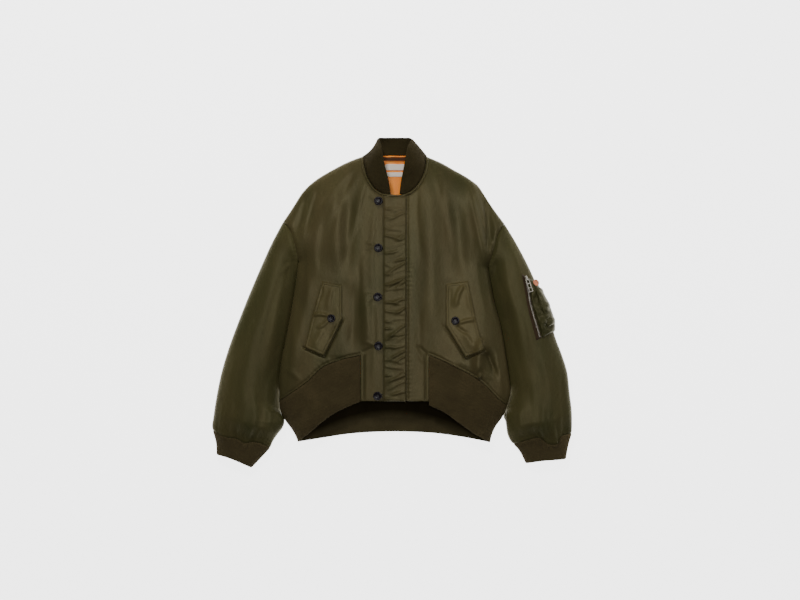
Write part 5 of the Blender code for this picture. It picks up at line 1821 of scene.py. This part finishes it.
class Nodes:
    """A node tree and short ways to add nodes to it."""

    def __init__(self, tree, place):
        self.tree = tree
        self.place = place

    def add(self, kind, **settings):
        node = self.tree.nodes.new(kind)
        for key, value in settings.items():
            setattr(node, key, value)
        return node

    def feed(self, source, socket):
        """A socket takes a plain value, or a link from another node."""
        if isinstance(source, (float, tuple)):
            socket.default_value = source
        else:
            self.tree.links.new(source, socket)

    def turned(self, scale, turn=0.0):
        mapping = self.add("ShaderNodeMapping")
        mapping.inputs["Scale"].default_value = scale
        mapping.inputs["Rotation"].default_value = (0, 0, turn)
        self.feed(self.place, mapping.inputs["Vector"])
        return mapping.outputs["Vector"]

    def noise(self, scale, detail=2.0, rough=0.5, turn=0.0, warp=0.0):
        """Noise with its own scale along each axis, in cells a metre."""
        node = self.add("ShaderNodeTexNoise")
        node.inputs["Scale"].default_value = 1.0
        node.inputs["Detail"].default_value = detail
        node.inputs["Roughness"].default_value = rough
        node.inputs["Distortion"].default_value = warp
        self.feed(self.turned(scale, turn), node.inputs["Vector"])
        return node.outputs["Fac"]

    def wave(self, count, turn, warp=0.0):
        """Straight bands across X, as many a metre as count says."""
        node = self.add("ShaderNodeTexWave", wave_type="BANDS", bands_direction="X", wave_profile="SIN")
        node.inputs["Distortion"].default_value = warp
        node.inputs["Detail"].default_value = 1.0
        scale = count * BAND if isinstance(count, float) else self.math("MULTIPLY", count, BAND)
        self.feed(scale, node.inputs["Scale"])
        self.feed(self.turned((1, 1, 1), turn), node.inputs["Vector"])
        return node.outputs["Fac"]

    def ramp(self, value, *stops):
        node = self.add("ShaderNodeValToRGB")
        while len(node.color_ramp.elements) < len(stops):
            node.color_ramp.elements.new(0.5)
        for element, (position, colour) in zip(node.color_ramp.elements, stops):
            element.position = position
            element.color = colour
        self.feed(value, node.inputs["Fac"])
        return node.outputs["Color"]

    def mix(self, share, first, second, blend="MIX"):
        node = self.add("ShaderNodeMix", data_type="RGBA", blend_type=blend)
        for source, socket in ((share, node.inputs[0]), (first, node.inputs[6]), (second, node.inputs[7])):
            self.feed(source, socket)
        return node.outputs[2]

    def math(self, operation, first, second):
        node = self.add("ShaderNodeMath", operation=operation)
        self.feed(first, node.inputs[0])
        self.feed(second, node.inputs[1])
        return node.outputs[0]

    def span(self, value, low, high, start=0.0, end=1.0):
        """A value that runs from start to end, spread from low to high."""
        node = self.add("ShaderNodeMapRange")
        ends = {"Value": value, "From Min": start, "From Max": end, "To Min": low, "To Max": high}
        for name, source in ends.items():
            self.feed(source, node.inputs[name])
        return node.outputs[0]


class Effect(Nodes):
    """A shader node group that several materials share, with named inputs and outputs."""

    def __init__(self, name, **inputs):
        tree = bpy.data.node_groups.new(name, "ShaderNodeTree")
        tree.interface.new_socket("Place", in_out="INPUT", socket_type="NodeSocketVector")
        for key, kind in inputs.items():
            tree.interface.new_socket(socket_name(key), in_out="INPUT", socket_type=kind)
        self.given = tree.nodes.new("NodeGroupInput").outputs
        super().__init__(tree, self.given["Place"])

    def puts_out(self, **outputs):
        """Ends the group: each output has its name, its kind of socket and its source."""
        for key, (kind, source) in outputs.items():
            self.tree.interface.new_socket(socket_name(key), in_out="OUTPUT", socket_type=kind)
        end = self.tree.nodes.new("NodeGroupOutput")
        for key, (kind, source) in outputs.items():
            self.feed(source, end.inputs[socket_name(key)])
        return self.tree


class Look(Nodes):
    """One material: its shader's own values, and short ways to feed it."""

    def __init__(self, name, **constants):
        self.material = bpy.data.materials.new(name)
        self.material.use_nodes = True
        tree = self.material.node_tree
        self.shader = tree.nodes["Principled BSDF"]
        for key, value in constants.items():
            self.shader.inputs[socket_name(key)].default_value = value
        super().__init__(tree, tree.nodes.new("ShaderNodeTexCoord").outputs["Object"])

    def placed(self, effect, place=None, **values):
        """A shared effect with this material's own values."""
        node = self.add("ShaderNodeGroup", node_tree=effect)
        self.feed(place or self.place, node.inputs["Place"])
        for key, value in values.items():
            node.inputs[socket_name(key)].default_value = value
        return node.outputs

    def bump(self, *layers):
        """Bump from pairs of a height and its depth in metres, laid one on another."""
        normal = None
        for height, depth in layers:
            node = self.add("ShaderNodeBump")
            node.inputs["Strength"].default_value = 1.0
            node.inputs["Distance"].default_value = depth
            self.feed(height, node.inputs["Height"])
            if normal is not None:
                self.feed(normal, node.inputs["Normal"])
            normal = node.outputs["Normal"]
        self.feed(normal, self.shader.inputs["Normal"])

    def painted_hem_shadow(self):
        """Painted shadow: grey on the back's hem rib inside the line that the fronts' hem bows over it."""
        place = self.add("ShaderNodeSeparateXYZ")
        self.feed(self.place, place.inputs[0])
        x, y = place.outputs[0], place.outputs[1]
        bow = self.math("MULTIPLY", self.math("MULTIPLY", x, x), SHADOW_LINE_BOW)
        height = self.math("ADD", self.math("ADD", bow, y), SHADOW_LINE_MIDDLE)
        share = self.math("DIVIDE", height, SHADOW_LINE_FADE)
        return self.ramp(share, (0.0, (1, 1, 1, 1)), (1.0, (0.25, 0.23, 0.2, 1)))

    def paint(self, colour):
        self.feed(colour, self.shader.inputs["Base Color"])

    def polish(self, roughness):
        self.feed(roughness, self.shader.inputs["Roughness"])


SATIN_TINT = (0.84, 0.745, 0.47, 1.0)
KNIT_TINT = (0.6, 0.48, 0.3, 1.0)


def satin_nylon():
    """Fine twill, soft crinkles and blotches of green and brown."""
    satin = Effect("satin_nylon", dark=COLOUR, light=COLOUR, warm=COLOUR, smoothest=NUMBER)
    broad = satin.noise((11, 3.2, 11), 3.0, 0.55, 0.1, 0.4)
    tint = satin.noise((26, 7, 26), 2.0, 0.5, -0.15)
    fine = satin.noise((240, 90, 240), 2.0, 0.6)
    base = satin.mix(satin.span(broad, 0.0, 1.0, 0.34, 0.66), satin.given["Dark"], satin.given["Light"])
    base = satin.mix(satin.span(tint, 0.0, 0.55), base, satin.given["Warm"])
    twill = satin.wave(1250.0, 0.9, 0.3)
    base = satin.mix(satin.span(twill, 0.0, 0.16), base, BLACK)
    base = satin.mix(satin.span(fine, 0.0, 0.14), base, BLACK)
    rough = satin.math("MULTIPLY_ADD", tint, 0.08)
    satin.feed(satin.given["Smoothest"], rough.node.inputs[2])
    return satin.puts_out(
        colour=(COLOUR, base),
        roughness=(NUMBER, rough),
        crinkle=(NUMBER, satin.noise((44, 22, 44), 2.0, 0.5, 0.2, 0.5)),
        ripple=(NUMBER, satin.noise((150, 90, 150), 2.0, 0.5, -0.25, 0.4)),
        twill=(NUMBER, twill),
    )


SATIN_NYLON = satin_nylon()


def nylon(name, dark, light, warm, smoothest=0.36):
    """A satin-faced nylon shell."""
    look = Look(name, roughness=smoothest, specular_ior_level=0.5, specular_tint=SATIN_TINT,
                sheen_weight=0.02, sheen_roughness=0.4, sheen_tint=SATIN_TINT)
    cloth = look.placed(SATIN_NYLON, dark=linear(dark), light=linear(light), warm=linear(warm),
                        smoothest=smoothest)
    look.paint(cloth["Colour"])
    look.polish(cloth["Roughness"])
    look.bump((cloth["Crinkle"], 0.0005), (cloth["Ripple"], 0.0002), (cloth["Twill"], 0.00003))
    return look.material


def ribbed_knit():
    """Ribs across U with painted shade in their grooves, loops along them, and a little fuzz."""
    wool = Effect("ribbed_knit", ribs="NodeSocketVector", dark=COLOUR, light=COLOUR)
    broad = wool.noise((13, 13, 13), 3.0, 0.6, 0.0, 0.3)
    fuzz = wool.noise((700, 700, 700), 2.0, 0.7)
    uneven = wool.noise((40, 40, 40), 3.0, 0.6)
    wool.place = wool.given["Ribs"]
    rib = wool.wave(RIBS, 0.0, 0.15)
    loops = wool.wave(620.0, math.pi / 2, 0.5)
    base = wool.mix(wool.span(broad, 0.0, 1.0, 0.3, 0.7), wool.given["Dark"], wool.given["Light"])
    # Painted shade: the knit is darkened to 0.62 of its colour in the ribs' grooves.
    groove_shade = wool.ramp(rib, (0.0, (0.62, 0.62, 0.62, 1)), (0.5, (1, 1, 1, 1)))
    base = wool.mix(1.0, base, groove_shade, "MULTIPLY")
    return wool.puts_out(
        colour=(COLOUR, wool.mix(wool.span(fuzz, 0.0, 0.3), base, BLACK)),
        roughness=(NUMBER, wool.span(fuzz, 0.8, 0.95)),
        uneven=(NUMBER, uneven),
        knobs=(NUMBER, wool.math("MULTIPLY", rib, wool.span(loops, 0.75, 1.0))),
        fuzz=(NUMBER, fuzz),
    )


# How many ribs the knit has in a metre.
RIBS = 385.0
RIBBED_KNIT = ribbed_knit()


def knit(name, dark, light, painted_shadow=False):
    """Ribbed wool knit, with a painted shadow where the fronts' hem covers it, if asked."""
    look = Look(name, roughness=0.88, specular_ior_level=0.2, specular_tint=KNIT_TINT, sheen_weight=0.08,
                sheen_roughness=0.5, sheen_tint=KNIT_TINT)
    wool = look.placed(RIBBED_KNIT, dark=linear(dark), light=linear(light))
    look.feed(look.add("ShaderNodeUVMap", uv_map="ribs").outputs["UV"], wool["Colour"].node.inputs["Ribs"])
    colour = wool["Colour"]
    if painted_shadow:
        # Painted shadow of the fronts' hem on the back's rib.
        colour = look.mix(1.0, colour, look.painted_hem_shadow(), "MULTIPLY")
    look.paint(colour)
    look.polish(wool["Roughness"])
    look.bump((wool["Uneven"], 0.0012), (wool["Knobs"], 0.0006), (wool["Fuzz"], 0.00018))
    return look.material


def lining(name, dark, light, shade):
    """Orange lining satin with soft upright ripples."""
    look = Look(name, roughness=0.46, specular_ior_level=0.35, sheen_weight=0.0)
    broad = look.noise((30, 6, 30), 3.0, 0.55, 0.12, 0.5)
    weave = look.wave(1400.0, 0.2, 0.2)
    base = look.ramp(broad, (0.3, linear(dark)), (0.68, linear(light)))
    base = look.mix(look.span(weave, 0.0, 0.12), base, linear(shade))
    look.paint(base)
    look.polish(look.span(broad, 0.52, 0.4))
    ripple = look.noise((70, 12, 70), 2.0, 0.5, 0.1, 0.4)
    look.bump((ripple, 0.004), (look.noise((230, 160, 230), 2.0), 0.0006), (weave, 0.00002))
    return look.material


def plain_weave():
    """Crossing threads, as many a metre as Threads says, and faint stains."""
    weave = Effect("plain_weave", dark=COLOUR, light=COLOUR, threads=NUMBER)
    across = weave.wave(weave.given["Threads"], 0.0, 0.1)
    up = weave.wave(weave.given["Threads"], math.pi / 2, 0.1)
    both = weave.math("MULTIPLY", across, up)
    stain = weave.noise((60, 60, 60), 3.0, 0.6)
    base = weave.mix(weave.span(stain, 0.0, 0.3), weave.given["Light"], weave.given["Dark"])
    return weave.puts_out(
        colour=(COLOUR, weave.mix(weave.span(both, 0.35, 0.0), base, weave.given["Dark"])),
        roughness=(NUMBER, weave.span(stain, 0.67, 0.83)),
        cockle=(NUMBER, weave.noise((150, 150, 150), 2.0)),
        threads=(NUMBER, both),
    )


PLAIN_WEAVE = plain_weave()


def woven(name, dark, light, threads):
    """A plain weave, for labels and tapes."""
    look = Look(name, roughness=0.75, specular_ior_level=0.3, sheen_weight=0.1)
    cloth = look.placed(PLAIN_WEAVE, dark=linear(dark), light=linear(light), threads=threads)
    look.paint(cloth["Colour"])
    look.polish(cloth["Roughness"])
    look.bump((cloth["Cockle"], 0.0005), (cloth["Threads"], 0.00008))
    return look.material


def horn(name):
    """Dark purple-black button, glossy, with faint cloudy streaks."""
    look = Look(name, roughness=0.25, specular_ior_level=0.3)
    cloud = look.noise((260, 420, 260), 4.0, 0.6, 0.5, 1.2)
    tones = ((0.3, (9, 6, 10)), (0.62, (24, 16, 24)), (0.8, (46, 34, 46)))
    look.paint(look.ramp(cloud, *[(place, linear(rgb)) for place, rgb in tones]))
    look.polish(look.span(cloud, 0.22, 0.34))
    look.bump((look.noise((90, 90, 90), 2.0), 0.0002))
    return look.material


def twisted_thread():
    """Twisted strands of two tones."""
    strands = Effect("twisted_thread", dark=COLOUR, light=COLOUR)
    twist = strands.wave(1500.0, 0.7, 0.3)
    tone = strands.noise((80, 80, 80), 2.0)
    base = strands.mix(strands.span(tone, 0.0, 1.0, 0.3, 0.7), strands.given["Light"], strands.given["Dark"])
    return strands.puts_out(
        colour=(COLOUR, strands.mix(strands.span(twist, 0.0, 0.5), base, strands.given["Dark"])),
        roughness=(NUMBER, strands.span(tone, 0.62, 0.8)),
        twist=(NUMBER, twist),
    )


TWISTED_THREAD = twisted_thread()


def thread(name, dark, light):
    """Sewing thread or cord."""
    look = Look(name, roughness=0.7, specular_ior_level=0.3, sheen_weight=0.2)
    strands = look.placed(TWISTED_THREAD, dark=linear(dark), light=linear(light))
    look.paint(strands["Colour"])
    look.polish(strands["Roughness"])
    look.bump((strands["Twist"], 0.0002))
    return look.material


def metal(name, dark, light, rough):
    """Worn plated metal."""
    look = Look(name, metallic=1.0, roughness=rough)
    wear = look.noise((320, 320, 320), 4.0, 0.65, 0.0, 0.5)
    look.paint(look.ramp(wear, (0.3, dark), (0.66, light)))
    look.polish(look.span(wear, rough - 0.1, rough + 0.14))
    look.bump((look.noise((900, 900, 900), 3.0), 0.00008))
    return look.material


def floor_look():
    """Pale seamless paper, almost even."""
    look = Look("pale_floor", roughness=0.9, specular_ior_level=0.1, emission_strength=3.5)
    look.shader.inputs["Emission Color"].default_value = (1, 1, 1, 1)
    grain = look.noise((40, 40, 40), 3.0)
    look.paint(look.ramp(grain, (0.0, (0.86, 0.86, 0.86, 1)), (1.0, (0.9, 0.9, 0.9, 1))))
    look.polish(look.span(grain, 0.85, 0.95))
    return look.material


NYLON = nylon("olive_nylon", (51, 56, 31), (76, 73, 45), (86, 69, 48))
# Painted shade: the sleeves get a slightly darker copy of the shell nylon, which is also rougher.
SHADED_SLEEVE_NYLON = nylon("shaded_sleeve_nylon", (51, 57, 30), (72, 71, 41), (80, 67, 44), 0.43)
# Painted shade: the sleeve pocket gets a darker copy of the sleeve nylon.
SHADED_POCKET_NYLON = nylon("shaded_pocket_nylon", (42, 49, 25), (62, 63, 36), (66, 59, 36))
# Painted light: the flaps get a lighter copy of the shell nylon.
LIT_FLAP_NYLON = nylon("lit_flap_nylon", (58, 61, 34), (84, 79, 48), (94, 77, 52))
LINING = lining("orange_satin", (255, 133, 38), (255, 167, 70), (242, 112, 34))
KNIT = knit("hem_rib_knit", (71, 63, 43), (88, 78, 53))
# The back's hem rib, with a painted shadow where the fronts' hem lies over it.
SHADOWED_BACK_KNIT = knit("back_rib_knit_painted_shadow", (72, 65, 45), (88, 80, 56), painted_shadow=True)
CUFF_KNIT = knit("cuff_rib_knit", (76, 68, 47), (91, 81, 56))
# Painted shade: the collar gets a darker copy of the rib knit.
SHADED_COLLAR_KNIT = knit("shaded_collar_rib_knit", (52, 46, 29), (63, 56, 36))
TAPE = woven("brown_tape", (52, 34, 22), (82, 56, 38), 1100)
ZIP_TAPE = woven("zip_tape", (44, 34, 20), (64, 48, 30), 1100)
LABEL = woven("blank_label", (228, 210, 192), (246, 236, 224), 900)
ORANGE_TAB = woven("orange_ribbon", (196, 104, 66), (236, 160, 124), 800)
HORN = horn("dark_horn")
THREAD = thread("dark_thread", (26, 22, 13), (44, 38, 24))
CORD = thread("black_cord", (10, 9, 8), (22, 20, 17))
NICKEL = metal("worn_nickel", (0.30, 0.28, 0.24, 1), (0.62, 0.58, 0.50, 1), 0.34)

FLOOR_SPAN = 8.0
CAMERA_POINT = (0.0186, 0.0073, 4.0)
CAMERA_LENS = 76.5
# Each light's place and size in metres, its watts and colour, and whether it shows in shine.
LIGHTS = {
    "key": ((-0.6, 1.8, 1.3), 0.4, 30, (1.0, 0.99, 0.97), False),
    "side": ((1.6, 0.7, 1.1), 0.6, 4, (1.0, 1.0, 1.0), True),
    "softbox": ((0.45, 0.5, 5.0), 1.4, 50, (1.0, 1.0, 1.0), True),
    "overhead": ((0.0, 0.1, 5.0), 0.8, 28, (1.0, 1.0, 1.0), False),
}
WORLD_STRENGTH = 0.06


def make_floor():
    half = FLOOR_SPAN / 2
    mesh = bpy.data.meshes.new("floor")
    corners = [(-half, -half, 0), (half, -half, 0), (half, half, 0), (-half, half, 0)]
    mesh.from_pydata(corners, [], [(0, 1, 2, 3)])
    mesh.materials.append(floor_look())
    floor = bpy.data.objects.new("floor", mesh)
    floor.location.z = -0.0006
    bpy.context.scene.collection.objects.link(floor)


def area_light(name, place, aim, size, watts, colour):
    data = bpy.data.lights.new(name, "AREA")
    data.shape = "DISK"
    data.size = size
    data.energy = watts
    data.color = colour
    light = bpy.data.objects.new(name, data)
    light.location = place
    light.rotation_euler = (Vector(aim) - Vector(place)).to_track_quat("-Z", "Y").to_euler()
    bpy.context.scene.collection.objects.link(light)
    return light


def make_light():
    for name, (place, size, watts, colour, glossy) in LIGHTS.items():
        area_light(name, place, (0, 0, 0), size, watts, colour).visible_glossy = glossy
    world = bpy.data.worlds.new("studio")
    world.use_nodes = True
    background = world.node_tree.nodes["Background"]
    background.inputs["Color"].default_value = (1, 1, 1, 1)
    background.inputs["Strength"].default_value = WORLD_STRENGTH
    bpy.context.scene.world = world


def make_camera():
    data = bpy.data.cameras.new("camera")
    data.lens = CAMERA_LENS
    data.sensor_width = 36
    data.clip_end = 50
    camera = bpy.data.objects.new("camera", data)
    camera.location = CAMERA_POINT
    bpy.context.scene.collection.objects.link(camera)
    bpy.context.scene.camera = camera


make_floor()
make_light()
make_camera()
right_front, left_front, band = make_fronts()
back_panel = make_back()
shoulder_seams = make_shoulder_seams()
hem_ribs = make_hem_ribs()
flaps = make_flaps()
sleeves = make_sleeves()
cuffs = make_cuffs()
collar = make_collar()
neck_cloth, hanger, neck_label, size_label = make_inside_neck()
sleeve_pocket, pen_pocket, zip_tape, tab = make_sleeve_pocket()
make_buttons()
sewn = make_stitches()

for node in ("sleeve_zip_slider", "sleeve_zip_pull"):
    solid = bpy.data.objects[node]
    solid.data.materials.clear()
    solid.data.materials.append(NICKEL)
    for polygon in solid.data.polygons:
        polygon.material_index = 0
